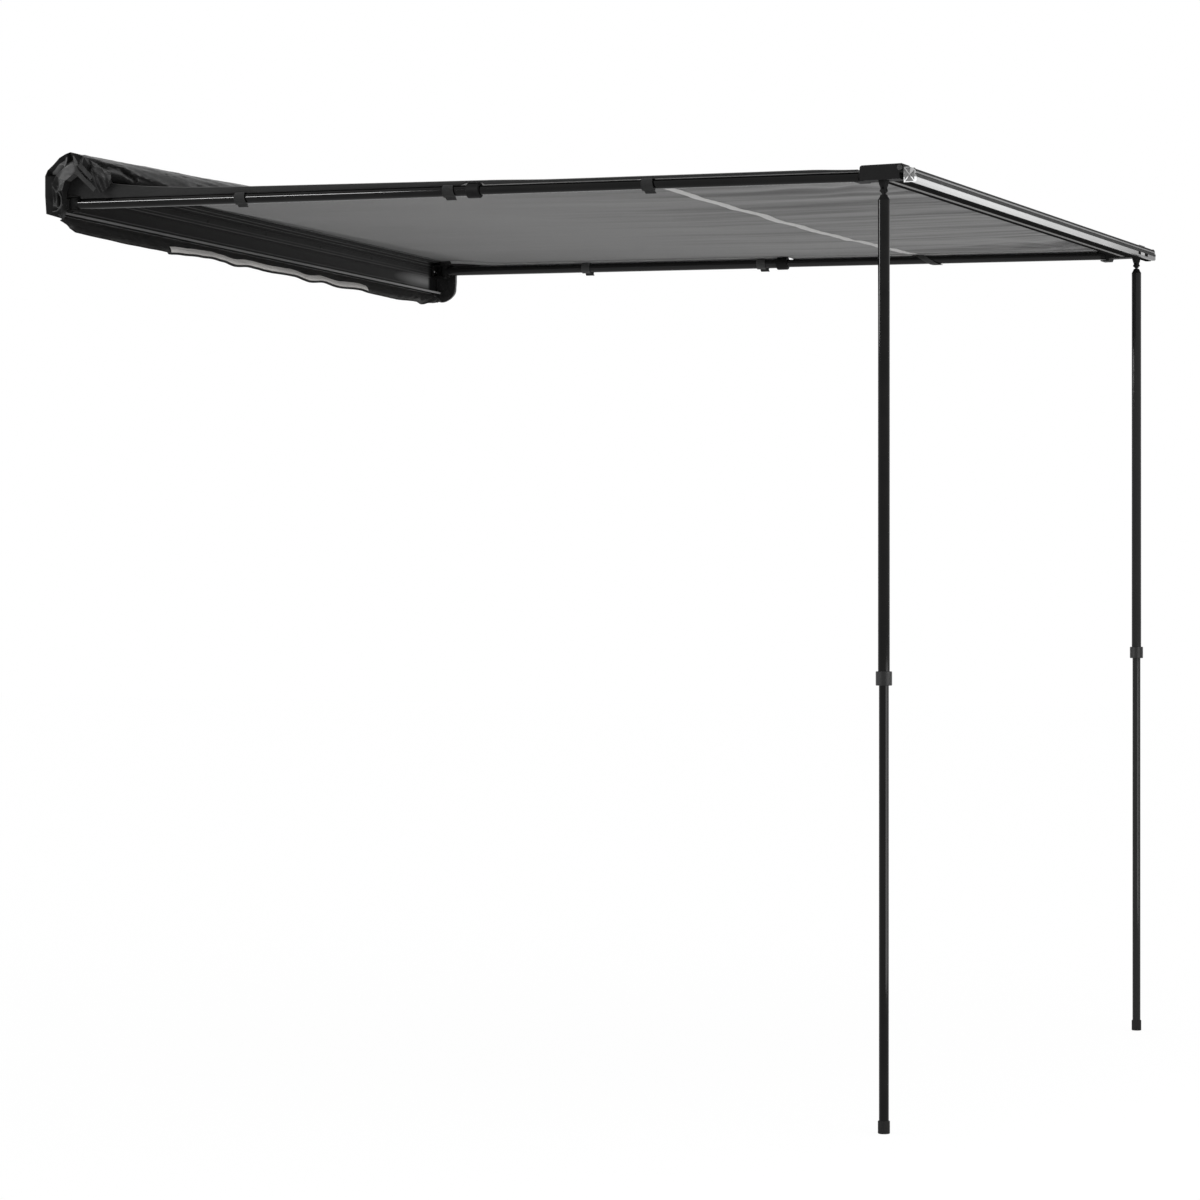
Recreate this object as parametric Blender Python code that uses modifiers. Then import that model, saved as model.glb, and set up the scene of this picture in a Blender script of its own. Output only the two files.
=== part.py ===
"""Side awning for a vehicle roof rack, standing open on its two legs.

Frame: the origin is the centre of the backplate's rear mounting face. +X runs along the vehicle from
the near end to the far end, -Y points away from the vehicle and +Z is up. All lengths are in metres.
"""

import math

import bmesh
import bpy
from mathutils import Vector

# Overall sizes
BACK_LENGTH = 2.0  # backplate, along the vehicle
REACH = 2.006  # mounting face to the inner face of the corner blocks
RAIL_HEIGHT = 2.0248  # underside of the lead rail at its middle, above the ground
MOUNT_ABOVE_RAIL = 0.0602  # origin above the underside of the lead rail at its middle
RAIL_LIFT = 0.045  # the far end of the lead rail stands this much higher than the near end
GAP = 0.0003  # between neighbours that touch

# Backplate
BACK_ROOM = 0.008  # between the far arm's bracket and the sail track's box
BACK_FACE = 0.014  # thickness over the T-slots
RIB = 0.0025
LIP_REACH = 0.030
LIP_THICK = 0.003
LIP_TURN = 0.005
SLOT_OFFSET = 0.028  # T-slot centre lines above and below the middle
SLOT_MOUTH = 0.0085
SLOT_WIDTH = 0.0140
SLOT_SKIN = 0.0025
SLOT_DEPTH = 0.0100
TRACK_R = 0.0030  # sail track for the canopy's bead
TRACK_MOUTH = 0.0026
TRACK_INSET = 0.0055  # its centre from the nose and from the top
TRACK_BELOW = 0.0030  # wall under the track
CAP_THICK = 0.003
RIVET_PITCH = 0.30
RIVET_COUNT = 7
RIVET_R = 0.0040
RIVET_UP = 0.0117

# Arms
BRACKET_INSET = 0.0002  # brackets from the backplate's ends
ARM_PIVOT_OUT = 0.052  # pivot axis from the mounting face
LIP_CLEAR = 0.0005  # between the lip and the near arm's bracket
ARM_STACK_GAP = 0.005  # the far arm's bracket sits this much above the near one
SHELF_UP = 0.0011  # near block's shelf above its underside
SHELF_GAP = 0.0006
ARM_TUBE_R = 0.0125
ARM_WALL = 0.0015
ARM_OUTER_END = 1.040  # from the pivot to the outer tube's open end
ARM_OVERLAP = 0.1483  # of the inner tube in the outer one
SLIDE_GAP = 0.0005  # between telescoping tubes, on the radius
ARM_COLLAR_WALL = 0.0043
COLLAR_HEIGHT = 0.030
COLLAR_GAP = 0.0004
HINGE_PLATE = 0.003
HINGE_ROOM = 0.002  # above and below the arm's tube
HINGE_SIDE = 0.0023  # bracket past the arm's tube on each side
ARM_PIN_R = 0.004
KNUCKLE_NECK = 0.016  # pivot to the end of the arm's tube
TIP_GAP = 0.0006
TIP_FLANGE = 0.012

# Lead rail
RAIL_OVERHANG = 0.020  # past the leg's pivot at each end
RAIL_DEPTH = 0.028
RAIL_UNDER_TOP = 0.008  # silver section's top below the blocks' top
RAIL_BELOW_BLOCK = 0.008  # its underside below theirs
RAIL_WALL = 0.0018
BLOCK_DEPTH = 0.0962
BLOCK_ABOVE_INNER = 0.002  # blocks' top above the black section's
BLOCK_WIDTH = 0.045
INNER_DEPTH = 0.070
INNER_WALL = 0.002
INNER_LOW = 0.003
CLOTH_BELOW_TOP = 0.0022  # canopy's edge below the top of the black section
INNER_RIB = 0.002

# Legs
LEG_LINE = 0.062  # from the blocks' inner face to the middle between the two legs
LEG_TUBE_R = 0.0125
LEG_WALL = 0.0015
LEG_OUTSET = 0.015  # leg pivots past the arms' axes, along the vehicle
LEG_PITCH = 2 * LEG_TUBE_R + 0.007  # folded legs lie side by side
NECK_DROP = 0.021  # underside of the rail to the leg's pivot
NECK_LENGTH = 0.020  # pivot to the top of the tube
WAIST_R = 0.0072
TONGUE = 0.0040
LEG_PIN_R = 0.0017
LEG_UPPER_LENGTH = 1.005
LEG_OVERLAP = 0.113  # of the lower tube in the upper one, on the longer leg
LEG_COLLAR_WALL = 0.0044
FOOT_WALL = 0.0019
FOOT_HEIGHT = 0.027
FOOT_FLOOR = 0.004

# Cloth
CANOPY_THICK = 0.0016
CANOPY_SAG = 0.012
CANOPY_BLEND = 0.22  # length over which the cloth leaves the sail track for the arms' plane
SLUNG_LENGTH = 0.14  # the same for its near edge, which the bag's end pulls up
SEAT_BLEND = 0.12  # length over which it leaves that plane for the lead rail
SEAT_CLEAR = 0.0035  # between the near arm and the cloth at the rail
HEM_HEIGHT = {"near": 0.0068, "far": 0.0022}
HEM_END = 0.0020
HEM_THICK = 0.0020
HEM_OUT = 0.0075  # outboard of the arm's axis
STRAP_WIDTH = 0.025
STRAP_THICK = 0.0015
STRAP_GAP = 0.0007
STRAP_AT = (0.50, 1.03, 1.51)  # from the mounting face
WEB_AT = 1.48
WEB_WIDTH = 0.025
WEB_THICK = 0.0010
BAG_TOP = 0.112
BAG_END_TOP = 0.0865  # at the near end
BAG_RISE = 0.032  # of its top, for each metre from there
BAG_OUT = 0.110
BAG_END_THICK = 0.028
FLAP_DROP = 0.0385
FLAP_SAG = 0.0105
FLAP_THICK = 0.005
TIE_THICK = 0.0018

LINING_FROM = -0.54
LINING_TO = 0.56

TURN_STEPS = 26

MOUNT_HEIGHT = RAIL_HEIGHT + MOUNT_ABOVE_RAIL  # origin above the ground
HINGE_HALF_X = ARM_TUBE_R + HINGE_SIDE
ARM_X = BACK_LENGTH / 2 - BRACKET_INSET - HINGE_HALF_X  # arm axes from the middle
SPAN = 2 * (ARM_X + LEG_OUTSET)  # between the two leg pivots
RAIL_LENGTH = SPAN + 2 * RAIL_OVERHANG
HINGE_HALF_Z = ARM_TUBE_R + HINGE_ROOM
BRACKET_HEIGHT = 2 * (HINGE_HALF_Z + HINGE_PLATE)
TRACK_BOX = TRACK_INSET + TRACK_R + TRACK_BELOW  # height of the sail track's box
BACK_HEIGHT = LIP_TURN + LIP_CLEAR + 2 * BRACKET_HEIGHT + ARM_STACK_GAP + BACK_ROOM + TRACK_BOX
NEAR_ARM_UP = -BACK_HEIGHT / 2 + LIP_TURN + LIP_CLEAR + BRACKET_HEIGHT / 2
FAR_ARM_UP = NEAR_ARM_UP + BRACKET_HEIGHT + ARM_STACK_GAP  # the far arm folds above the near one
ARM_INNER_R = ARM_TUBE_R - ARM_WALL - SLIDE_GAP
NEAR_TIP_UP = SHELF_UP + SHELF_GAP + ARM_INNER_R  # near arm's axis above the underside of its corner block
# Top of the canopy above the rail's underside
CLOTH_SEAT = NEAR_TIP_UP + ARM_INNER_R + SEAT_CLEAR + CANOPY_THICK
INNER_TOP = CLOTH_SEAT + CLOTH_BELOW_TOP
BLOCK_HEIGHT = INNER_TOP + BLOCK_ABOVE_INNER
RAIL_BODY_HEIGHT = BLOCK_HEIGHT - RAIL_UNDER_TOP + RAIL_BELOW_BLOCK
ARM_DROP = MOUNT_ABOVE_RAIL + NEAR_ARM_UP + RAIL_LIFT / 2 - NEAR_TIP_UP  # fall from the pivot to the block
ARM_INNER_LENGTH = REACH - ARM_PIVOT_OUT - TIP_FLANGE - GAP - ARM_OUTER_END + ARM_OVERLAP
ARM_COLLAR_R = ARM_TUBE_R + COLLAR_GAP + ARM_COLLAR_WALL
ARM_TILT = math.atan(ARM_DROP / (REACH - ARM_PIVOT_OUT))
ARM_LENGTH = math.hypot(ARM_DROP, REACH - ARM_PIVOT_OUT)
RAIL_TILT = math.atan(RAIL_LIFT / SPAN)
LEG_INNER_R = LEG_TUBE_R - LEG_WALL - SLIDE_GAP
LEG_COLLAR_R = LEG_TUBE_R + COLLAR_GAP + LEG_COLLAR_WALL
FOOT_R = LEG_INNER_R + GAP + FOOT_WALL
LEG_LOWER_TOP = RAIL_HEIGHT + RAIL_LIFT / 2 - NECK_DROP - NECK_LENGTH - LEG_UPPER_LENGTH + LEG_OVERLAP
LEG_LOWER_LENGTH = LEG_LOWER_TOP - FOOT_FLOOR - GAP
ARM_UP = {"near": NEAR_ARM_UP, "far": FAR_ARM_UP}
SIDE = {"near": -1.0, "far": 1.0}
RAIL_Z = RAIL_HEIGHT - MOUNT_HEIGHT
GROUND_Z = -MOUNT_HEIGHT
BACK_TOP = BACK_HEIGHT / 2
TRACK_OUT = LIP_REACH - TRACK_INSET
TRACK_UP = BACK_TOP - TRACK_INSET
LEG_OUT = {"near": REACH + LEG_LINE - LEG_PITCH / 2, "far": REACH + LEG_LINE + LEG_PITCH / 2}


# Scene and helpers
for old in list(bpy.data.objects):
    bpy.data.objects.remove(old)

PARTS = bpy.data.collections.new("side_awning")
CUTTERS = bpy.data.collections.new("cutters")
for group in (PARTS, CUTTERS):
    bpy.context.scene.collection.children.link(group)


def material(name, colour, roughness, metallic=0.0):
    made = bpy.data.materials.new(name)
    made.use_nodes = True
    shader = made.node_tree.nodes["Principled BSDF"]
    shader.inputs["Base Color"].default_value = (*colour, 1.0)
    shader.inputs["Roughness"].default_value = roughness
    shader.inputs["Metallic"].default_value = metallic
    made.diffuse_color = (*colour, 1.0)
    return made


BLACK_ANODISED = ("black_anodised", (0.012, 0.012, 0.013), 0.38, 0.6)
GLOSS_BLACK = ("gloss_black_tube", (0.010, 0.010, 0.011), 0.20, 0.3)
SILVER = ("clear_anodised", (0.62, 0.62, 0.63), 0.30, 0.9)
BLACK_PLASTIC = ("black_plastic", (0.016, 0.016, 0.017), 0.45, 0.0)
GREY_PLASTIC = ("grey_plastic", (0.035, 0.035, 0.037), 0.42, 0.0)
BLACK_RUBBER = ("black_rubber", (0.010, 0.010, 0.010), 0.80, 0.0)
STEEL = ("zinc_steel", (0.45, 0.45, 0.46), 0.35, 0.9)
CANOPY_CLOTH = ("grey_canvas", (0.17, 0.17, 0.17), 0.85, 0.0)
BLACK_CLOTH = ("black_webbing", (0.011, 0.011, 0.012), 0.80, 0.0)
BAG_CLOTH = ("black_coated_cloth", (0.014, 0.014, 0.015), 0.50, 0.0)
PALE_CLOTH = ("pale_lining", (0.42, 0.40, 0.37), 0.80, 0.0)


def dress(made, look, parent=None, collection=PARTS):
    if look:
        made.data.materials.append(material(f"{made.name}_{look[0]}", *look[1:]))
    collection.objects.link(made)
    if parent is not None:
        made.parent = parent
    return made


def smooth(mesh, angle=35):
    mesh.shade_smooth()
    mesh.set_sharp_from_angle(angle=math.radians(angle))


def frame(name, location, rotation=(0, 0, 0), parent=None):
    empty = bpy.data.objects.new(name, None)
    empty.location = location
    empty.rotation_euler = rotation
    empty.empty_display_size = 0.03
    PARTS.objects.link(empty)
    if parent is not None:
        empty.parent = parent
    return empty


def mesh_object(name, build):
    mesh = bpy.data.meshes.new(name)
    body = bmesh.new()
    build(body)
    bmesh.ops.recalc_face_normals(body, faces=body.faces)
    body.to_mesh(mesh)
    body.free()
    return bpy.data.objects.new(name, mesh)


def box(name, look, size, centre, parent=None, bevel=0.0, collection=PARTS, rotation=(0, 0, 0)):
    def build(body):
        bmesh.ops.create_cube(body, size=1.0)
        bmesh.ops.scale(body, vec=Vector(size), verts=body.verts)

    made = dress(mesh_object(name, build), look, parent, collection)
    made.location = centre
    made.rotation_euler = rotation
    if bevel:
        rounding = made.modifiers.new("edges", "BEVEL")
        rounding.width = bevel
        rounding.segments = 2
    return made


def turned(name, look, profile, location=(0, 0, 0), rotation=(0, 0, 0), parent=None, closed=True,
           steps=TURN_STEPS, collection=PARTS):
    """A profile of (radius, height) points turned about local Z. A closed one makes a ring."""
    count = len(profile)
    edges = [(i, i + 1) for i in range(count - 1)]
    if closed:
        edges.append((count - 1, 0))
    mesh = bpy.data.meshes.new(name)
    mesh.from_pydata([(r, 0.0, z) for r, z in profile], edges, [])
    made = dress(bpy.data.objects.new(name, mesh), look, parent, collection)
    made.location = location
    made.rotation_euler = rotation
    screw = made.modifiers.new("turn", "SCREW")
    screw.steps = steps
    screw.render_steps = steps
    screw.use_merge_vertices = True
    screw.merge_threshold = 0.00001
    screw.use_smooth_shade = True
    return made


def rod(name, look, radius, low, high, location=(0, 0, 0), rotation=(0, 0, 0), parent=None, chamfer=0.0,
        steps=TURN_STEPS, collection=PARTS):
    if chamfer:
        profile = [(0, high), (radius - chamfer, high), (radius, high - chamfer), (radius, low + chamfer),
                   (radius - chamfer, low), (0, low)]
    else:
        profile = [(0, high), (radius, high), (radius, low), (0, low)]
    return turned(name, look, profile, location, rotation, parent, False, steps, collection)


def tube(name, look, radius, wall, low, high, location=(0, 0, 0), rotation=(0, 0, 0), parent=None):
    inner = radius - wall
    profile = [(radius, high), (radius, low), (inner, low), (inner, high)]
    return turned(name, look, profile, location, rotation, parent)


def outline(name, look, loops, length, location=(0, 0, 0), rotation=(0, 0, 0), parent=None,
            collection=PARTS):
    """A flat outline, its first loop outside and the others holes, extruded along local Z."""
    curve = bpy.data.curves.new(name, "CURVE")
    curve.dimensions = "2D"
    curve.fill_mode = "BOTH"
    curve.extrude = length / 2
    for loop in loops:
        spline = curve.splines.new("POLY")
        spline.points.add(len(loop) - 1)
        for point, (u, v) in zip(spline.points, loop):
            point.co = (u, v, 0, 1)
        spline.use_cyclic_u = True
    made = dress(bpy.data.objects.new(name, curve), look, parent, collection)
    made.location = location
    made.rotation_euler = rotation
    return made


def as_mesh(curved):
    """The same object as a welded mesh, so that it can be cut."""
    name = curved.name
    bpy.context.view_layer.update()
    evaluated = curved.evaluated_get(bpy.context.evaluated_depsgraph_get())
    mesh = bpy.data.meshes.new_from_object(evaluated)
    body = bmesh.new()
    body.from_mesh(mesh)
    bmesh.ops.remove_doubles(body, verts=body.verts, dist=0.00001)
    body.to_mesh(mesh)
    body.free()
    made = bpy.data.objects.new(name + "_solid", mesh)
    home = curved.users_collection[0]
    home.objects.link(made)
    made.parent = curved.parent
    made.location = curved.location
    made.rotation_euler = curved.rotation_euler
    bpy.data.objects.remove(curved)
    made.name = name
    return made


def combine(target, other, operation):
    """Cuts or joins with a Boolean. The other object becomes a hidden helper."""
    for home in list(other.users_collection):
        home.objects.unlink(other)
    CUTTERS.objects.link(other)
    other.hide_render = True
    other.display_type = "WIRE"
    step = target.modifiers.new(other.name, "BOOLEAN")
    step.operation = operation
    step.solver = "EXACT"
    step.object = other
    return target


ALONG_X = (math.pi / 2, 0, math.pi / 2)  # an outline's (u, v) become (Y, Z), its length runs along X
ALONG_Y = (math.pi / 2, 0, 0)  # (u, v) become (X, Z); a turned piece's axis runs along -Y
ON_Y = (-math.pi / 2, 0, 0)  # a turned piece's height runs along +Y
ON_X = (0, math.pi / 2, 0)  # a turned piece's height runs along +X


def arc(u, v, radius, start, stop, count):
    """Points on an arc, from the start angle to the stop angle in degrees."""
    step = (stop - start) / (count - 1)
    angles = [math.radians(start + i * step) for i in range(count)]
    return [(u + radius * math.cos(a), v + radius * math.sin(a)) for a in angles]


def loft(name, look, rings, parent=None):
    """Skins a run of rings with the same number of points and closes both ends."""

    def build(body):
        rows = [[body.verts.new(point) for point in ring] for ring in rings]
        count = len(rows[0])
        for before, after in zip(rows, rows[1:]):
            for i in range(count):
                j = (i + 1) % count
                body.faces.new((before[i], before[j], after[j], after[i]))
        body.faces.new(list(reversed(rows[0])))
        body.faces.new(rows[-1])

    made = dress(mesh_object(name, build), look, parent)
    smooth(made.data, 50)
    return made


def sheet(name, look, columns, rows, height, thickness):
    """A cloth: a grid laid on the columns and rows, lifted by height(x, y), thickened downwards."""

    def build(body):
        bmesh.ops.create_grid(body, x_segments=len(columns) - 1, y_segments=len(rows) - 1, size=1.0)
        wide = len(columns) - 1
        deep = len(rows) - 1
        for vert in body.verts:
            x = columns[round((vert.co.x + 1) / 2 * wide)]
            y = rows[round((vert.co.y + 1) / 2 * deep)]
            vert.co = (x, y, height(x, y))

    made = dress(mesh_object(name, build), look)
    if made.data.polygons[0].normal.z < 0:
        made.data.flip_normals()
    smooth(made.data, 60)
    thick = made.modifiers.new("thickness", "SOLIDIFY")
    thick.thickness = thickness
    thick.offset = -1.0
    return made


def spread(start, stop, count):
    return [start + (stop - start) * i / (count - 1) for i in range(count)]


# Backplate
def t_slot(up):
    """The points of one T-slot in the rear face, walked upwards along it."""
    mouth = SLOT_MOUTH / 2
    half = SLOT_WIDTH / 2
    return [
        (0.0, up - mouth),
        (-SLOT_SKIN, up - mouth),
        (-SLOT_SKIN, up - half),
        (-SLOT_DEPTH, up - half),
        (-SLOT_DEPTH, up + half),
        (-SLOT_SKIN, up + half),
        (-SLOT_SKIN, up + mouth),
        (0.0, up + mouth),
    ]


def rib(up, width):
    """A raised line on the front face, walked downwards."""
    return [
        (-BACK_FACE, up + width / 2 + 0.0004),
        (-BACK_FACE - RIB, up + width / 2 - 0.0004),
        (-BACK_FACE - RIB, up - width / 2 + 0.0004),
        (-BACK_FACE, up - width / 2 - 0.0004),
    ]


def back_section():
    half = BACK_HEIGHT / 2
    mouth = math.degrees(math.asin(TRACK_MOUTH / 2 / TRACK_R))
    track = arc(-TRACK_OUT, TRACK_UP, TRACK_R, 180 - mouth, -180 + mouth, 13)
    nose = -LIP_REACH
    points = [(0.0, -half)]
    points += t_slot(-SLOT_OFFSET) + t_slot(SLOT_OFFSET)
    points += [(0.0, half), (nose + 0.001, half), (nose, half - 0.001), (nose, TRACK_UP + TRACK_MOUTH / 2)]
    points += track
    under = TRACK_UP - TRACK_R - TRACK_BELOW
    points += [(nose, TRACK_UP - TRACK_MOUTH / 2), (nose, under + 0.0006)]
    points += [(nose + 0.001, under), (-BACK_FACE, under)]
    points += rib(0.0295, 0.0022) + rib(0.0220, 0.0022) + rib(-0.0040, 0.0030)
    points += [(-BACK_FACE, -half + LIP_THICK), (nose + 0.0025, -half + LIP_THICK)]
    points += [(nose + 0.0025, -half + LIP_TURN), (nose, -half + LIP_TURN), (nose, -half + 0.0008)]
    points += [(nose + 0.0008, -half)]
    return points


backplate = as_mesh(outline("backplate", BLACK_ANODISED, [back_section()], BACK_LENGTH, rotation=ALONG_X))
for i in range(RIVET_COUNT):
    x = (i - (RIVET_COUNT - 1) / 2) * RIVET_PITCH
    head = rod(f"rivet_{i}", BLACK_ANODISED, RIVET_R, -0.0010, 0.0016, (x, -BACK_FACE, RIVET_UP),
               ALONG_Y, chamfer=0.0006, steps=14)
    combine(backplate, head, "UNION")

for end, sign in SIDE.items():
    cap = [(0.0, -BACK_TOP), (0.0, BACK_TOP), (-LIP_REACH, BACK_TOP), (-LIP_REACH, BACK_TOP - 0.012),
           (-BACK_FACE - 0.004, BACK_TOP - 0.018), (-BACK_FACE - 0.004, -BACK_TOP + 0.010),
           (-LIP_REACH, -BACK_TOP + 0.006), (-LIP_REACH, -BACK_TOP)]
    outline(f"{end}_end_cap", BLACK_PLASTIC, [cap], CAP_THICK,
            (sign * (BACK_LENGTH / 2 + GAP + CAP_THICK / 2), 0, 0), ALONG_X)


# Arms
ARM_FRAMES = {}
HINGE_BASE = BACK_FACE + RIB + GAP  # rear face of the bracket, from the mounting face
COLLAR_LOW = ARM_OUTER_END - COLLAR_HEIGHT / 2


def arm_bracket(end):
    """A clevis screwed to the backplate: a base, two round-nosed cheeks and the hole for the pin."""
    sign = SIDE[end]
    base = frame(f"{end}_bracket_frame", (sign * ARM_X, 0, ARM_UP[end]))
    out = ARM_PIVOT_OUT + HINGE_HALF_X
    nose = [(-HINGE_HALF_X, -HINGE_BASE)]
    nose += arc(0, -ARM_PIVOT_OUT, HINGE_HALF_X, 180, 360, 11) + [(HINGE_HALF_X, -HINGE_BASE)]
    outer = HINGE_HALF_Z + HINGE_PLATE
    made = as_mesh(outline(f"{end}_arm_bracket", BLACK_ANODISED, [nose], 2 * outer, parent=base))
    room = box(f"{end}_bracket_room", None, (4 * HINGE_HALF_X, out, 2 * HINGE_HALF_Z),
               (0, -HINGE_BASE - HINGE_PLATE - out / 2, 0), base, collection=CUTTERS)
    combine(made, room, "DIFFERENCE")
    hole = rod(f"{end}_bracket_hole", None, ARM_PIN_R + GAP, -2 * outer, 2 * outer, (0, -ARM_PIVOT_OUT, 0),
               parent=base, steps=20, collection=CUTTERS)
    combine(made, hole, "DIFFERENCE")
    head = ARM_PIN_R + 0.0022
    top = outer + GAP
    pin = [(0, top + 0.0018), (head - 0.0006, top + 0.0018), (head, top + 0.0012), (head, top), (ARM_PIN_R, top),
           (ARM_PIN_R, -top), (head, -top), (head, -top - 0.0012), (head - 0.0006, -top - 0.0018),
           (0, -top - 0.0018)]
    turned(f"{end}_arm_pin", STEEL, pin, (0, -ARM_PIVOT_OUT, 0), (0, 0, 0), base, False, 20)
    for tag, along in (("a", -0.0085), ("b", 0.0085)):
        rod(f"{end}_bracket_bolt_{tag}", STEEL, 0.0036, GAP, 0.0036,
            (along, -HINGE_BASE - HINGE_PLATE, 0), ALONG_Y, base, 0.0006, 6)


def telescoping_arm(end):
    """In the arm's frame the pivot is the origin, the arm runs along -Y and the pin along Z."""
    sign = SIDE[end]
    hub = frame(f"{end}_arm_frame", (sign * ARM_X, -ARM_PIVOT_OUT, ARM_UP[end]), (ARM_TILT, 0, 0))
    ARM_FRAMES[end] = hub
    high = HINGE_HALF_Z - GAP - math.tan(ARM_TILT) * ARM_TUBE_R
    knuckle = rod(f"{end}_arm_knuckle", BLACK_PLASTIC, ARM_TUBE_R - 0.0003, -high, high, parent=hub,
                  chamfer=0.001, steps=28)
    neck = turned(f"{end}_knuckle_neck", None,
                  [(0, KNUCKLE_NECK + 0.026), (ARM_TUBE_R - ARM_WALL - GAP, KNUCKLE_NECK + 0.026),
                   (ARM_TUBE_R - ARM_WALL - GAP, KNUCKLE_NECK - GAP), (ARM_TUBE_R, KNUCKLE_NECK - GAP),
                   (ARM_TUBE_R, 0.004), (0, 0.004)],
                  rotation=ALONG_Y, parent=hub, closed=False, steps=28, collection=CUTTERS)
    combine(knuckle, neck, "UNION")
    bore = rod(f"{end}_knuckle_bore", None, ARM_PIN_R + 2 * GAP, -0.05, 0.05, parent=hub, steps=20,
               collection=CUTTERS)
    combine(knuckle, bore, "DIFFERENCE")
    tube(f"{end}_arm_outer_tube", GLOSS_BLACK, ARM_TUBE_R, ARM_WALL, KNUCKLE_NECK, ARM_OUTER_END,
         rotation=ALONG_Y, parent=hub)
    fat, thin = ARM_TUBE_R + COLLAR_GAP, ARM_INNER_R + COLLAR_GAP
    turned(f"{end}_arm_lock_collar", BLACK_PLASTIC,
           [(ARM_COLLAR_R - 0.0012, COLLAR_HEIGHT), (ARM_COLLAR_R, COLLAR_HEIGHT - 0.0012), (ARM_COLLAR_R, 0.0012),
            (ARM_COLLAR_R - 0.0012, 0), (fat, 0), (fat, COLLAR_HEIGHT / 2 + COLLAR_GAP),
            (thin, COLLAR_HEIGHT / 2 + COLLAR_GAP), (thin, COLLAR_HEIGHT)],
           (0, -COLLAR_LOW, 0), ALONG_Y, hub)
    tip = ARM_LENGTH - TIP_GAP
    tube(f"{end}_arm_inner_tube", GLOSS_BLACK, ARM_INNER_R, ARM_WALL - 0.0001,
         tip - TIP_FLANGE - GAP - ARM_INNER_LENGTH, tip - TIP_FLANGE - GAP, rotation=ALONG_Y, parent=hub)
    plug = ARM_INNER_R - ARM_WALL - GAP
    turned(f"{end}_arm_tip", BLACK_PLASTIC,
           [(0, tip), (ARM_INNER_R - 0.0012, tip), (ARM_INNER_R, tip - 0.0012), (ARM_INNER_R, tip - TIP_FLANGE),
            (plug, tip - TIP_FLANGE), (plug, tip - TIP_FLANGE - 0.02), (0, tip - TIP_FLANGE - 0.02)],
           rotation=ALONG_Y, parent=hub, closed=False)


for end in SIDE:
    arm_bracket(end)
    telescoping_arm(end)


# Lead rail
RAIL = frame("lead_rail_frame", (0, 0, RAIL_Z), (0, -RAIL_TILT, 0))
BLOCK_IN = -REACH
BLOCK_OUT = -REACH - BLOCK_DEPTH
RAIL_IN = BLOCK_OUT - GAP


def rail_section():
    """The silver extrusion: rounded top, a groove along its face and an X of webs inside."""
    d, h, w = RAIL_DEPTH, RAIL_BODY_HEIGHT, RAIL_WALL
    low = -RAIL_BELOW_BLOCK
    outer = [(0, low), (0, low + h), (-d * 0.30, low + h)]
    outer += [(-d * 0.30 - d * 0.67 * math.sin(a), low + h - 0.012 + 0.012 * math.cos(a))
              for a in (math.radians(22.5 * i) for i in range(1, 5))]
    outer += [(-d * 0.97, low + h * 0.58), (-d * 0.97 + 0.0022, low + h * 0.56),
              (-d * 0.97 + 0.0022, low + h * 0.48), (-d * 0.97, low + h * 0.46), (-d, low + h * 0.42),
              (-d, low + 0.0025), (-d + 0.0025, low)]
    u0, u1 = -w, -d * 0.97 + 0.0022 + w
    v0, v1 = low + w, low + h - w
    um, vm = (u0 + u1) / 2, (v0 + v1) / 2
    half = w * 0.62
    lean = half * math.hypot(u1 - u0, v1 - v0)
    du, dv = lean / abs(v1 - v0), lean / abs(u1 - u0)
    holes = [
        [(u0 - du, v0), (u1 + du, v0), (um, vm - dv)],
        [(u0, v0 + dv), (um + du, vm), (u0, v1 - dv)],
        [(u1, v0 + dv), (u1, v1 - dv - 0.004), (um - du, vm + 0.0)],
        [(u0 - du, v1), (um, vm + dv), (u1 + du + 0.0065, v1)],
    ]
    return [[(RAIL_IN + u, v) for u, v in loop] for loop in [outer] + holes]


outline("lead_rail", SILVER, rail_section(), RAIL_LENGTH, rotation=ALONG_X, parent=RAIL)


def inner_section():
    """Black section behind the silver one: two closed chambers and a rib along the underside."""
    out = RAIL_IN + GAP
    inn = out + INNER_DEPTH
    mid = (out + inn) / 2
    low, top, w = INNER_LOW, INNER_TOP, INNER_WALL
    outer = [(out, low), (out, top - 0.003), (out + 0.003, top), (inn - 0.003, top), (inn, top - 0.003),
             (inn, low + 0.002), (inn - 0.002, low), (mid + w, low), (mid + w / 2, low - INNER_RIB),
             (mid - w / 2, low - INNER_RIB), (mid - w, low)]
    chambers = [[(a, low + w), (b, low + w), (b, top - w - 0.001), (a, top - w - 0.001)]
                for a, b in ((out + w, mid - w / 2), (mid + w / 2, inn - w))]
    return [outer] + chambers


outline("rail_inner_section", BLACK_ANODISED, inner_section(), SPAN - BLOCK_WIDTH - 2 * GAP, rotation=ALONG_X,
        parent=RAIL)


def block_section(end):
    """The corner block seen along X, with the shelf under the arm's tip."""
    axis = ARM_UP[end] - ARM_DROP - (RAIL_Z + SIDE[end] * RAIL_LIFT / 2)
    shelf = axis - ARM_INNER_R - SHELF_GAP
    h = BLOCK_HEIGHT
    return [(BLOCK_OUT + 0.009, 0), (BLOCK_OUT + 0.009, h * 0.42), (BLOCK_OUT, h * 0.47), (BLOCK_OUT, h - 0.0035),
            (BLOCK_OUT + 0.001, h - 0.001), (BLOCK_OUT + 0.0035, h), (BLOCK_IN - 0.005, h),
            (BLOCK_IN - 0.0015, h - 0.0015), (BLOCK_IN, h - 0.005), (BLOCK_IN, shelf), (BLOCK_IN + 0.013, shelf),
            (BLOCK_IN + 0.014, shelf - 0.001), (BLOCK_IN + 0.013, shelf - 0.0028), (BLOCK_IN - 0.008, shelf - 0.0028),
            (BLOCK_IN - 0.011, 0)]


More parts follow.
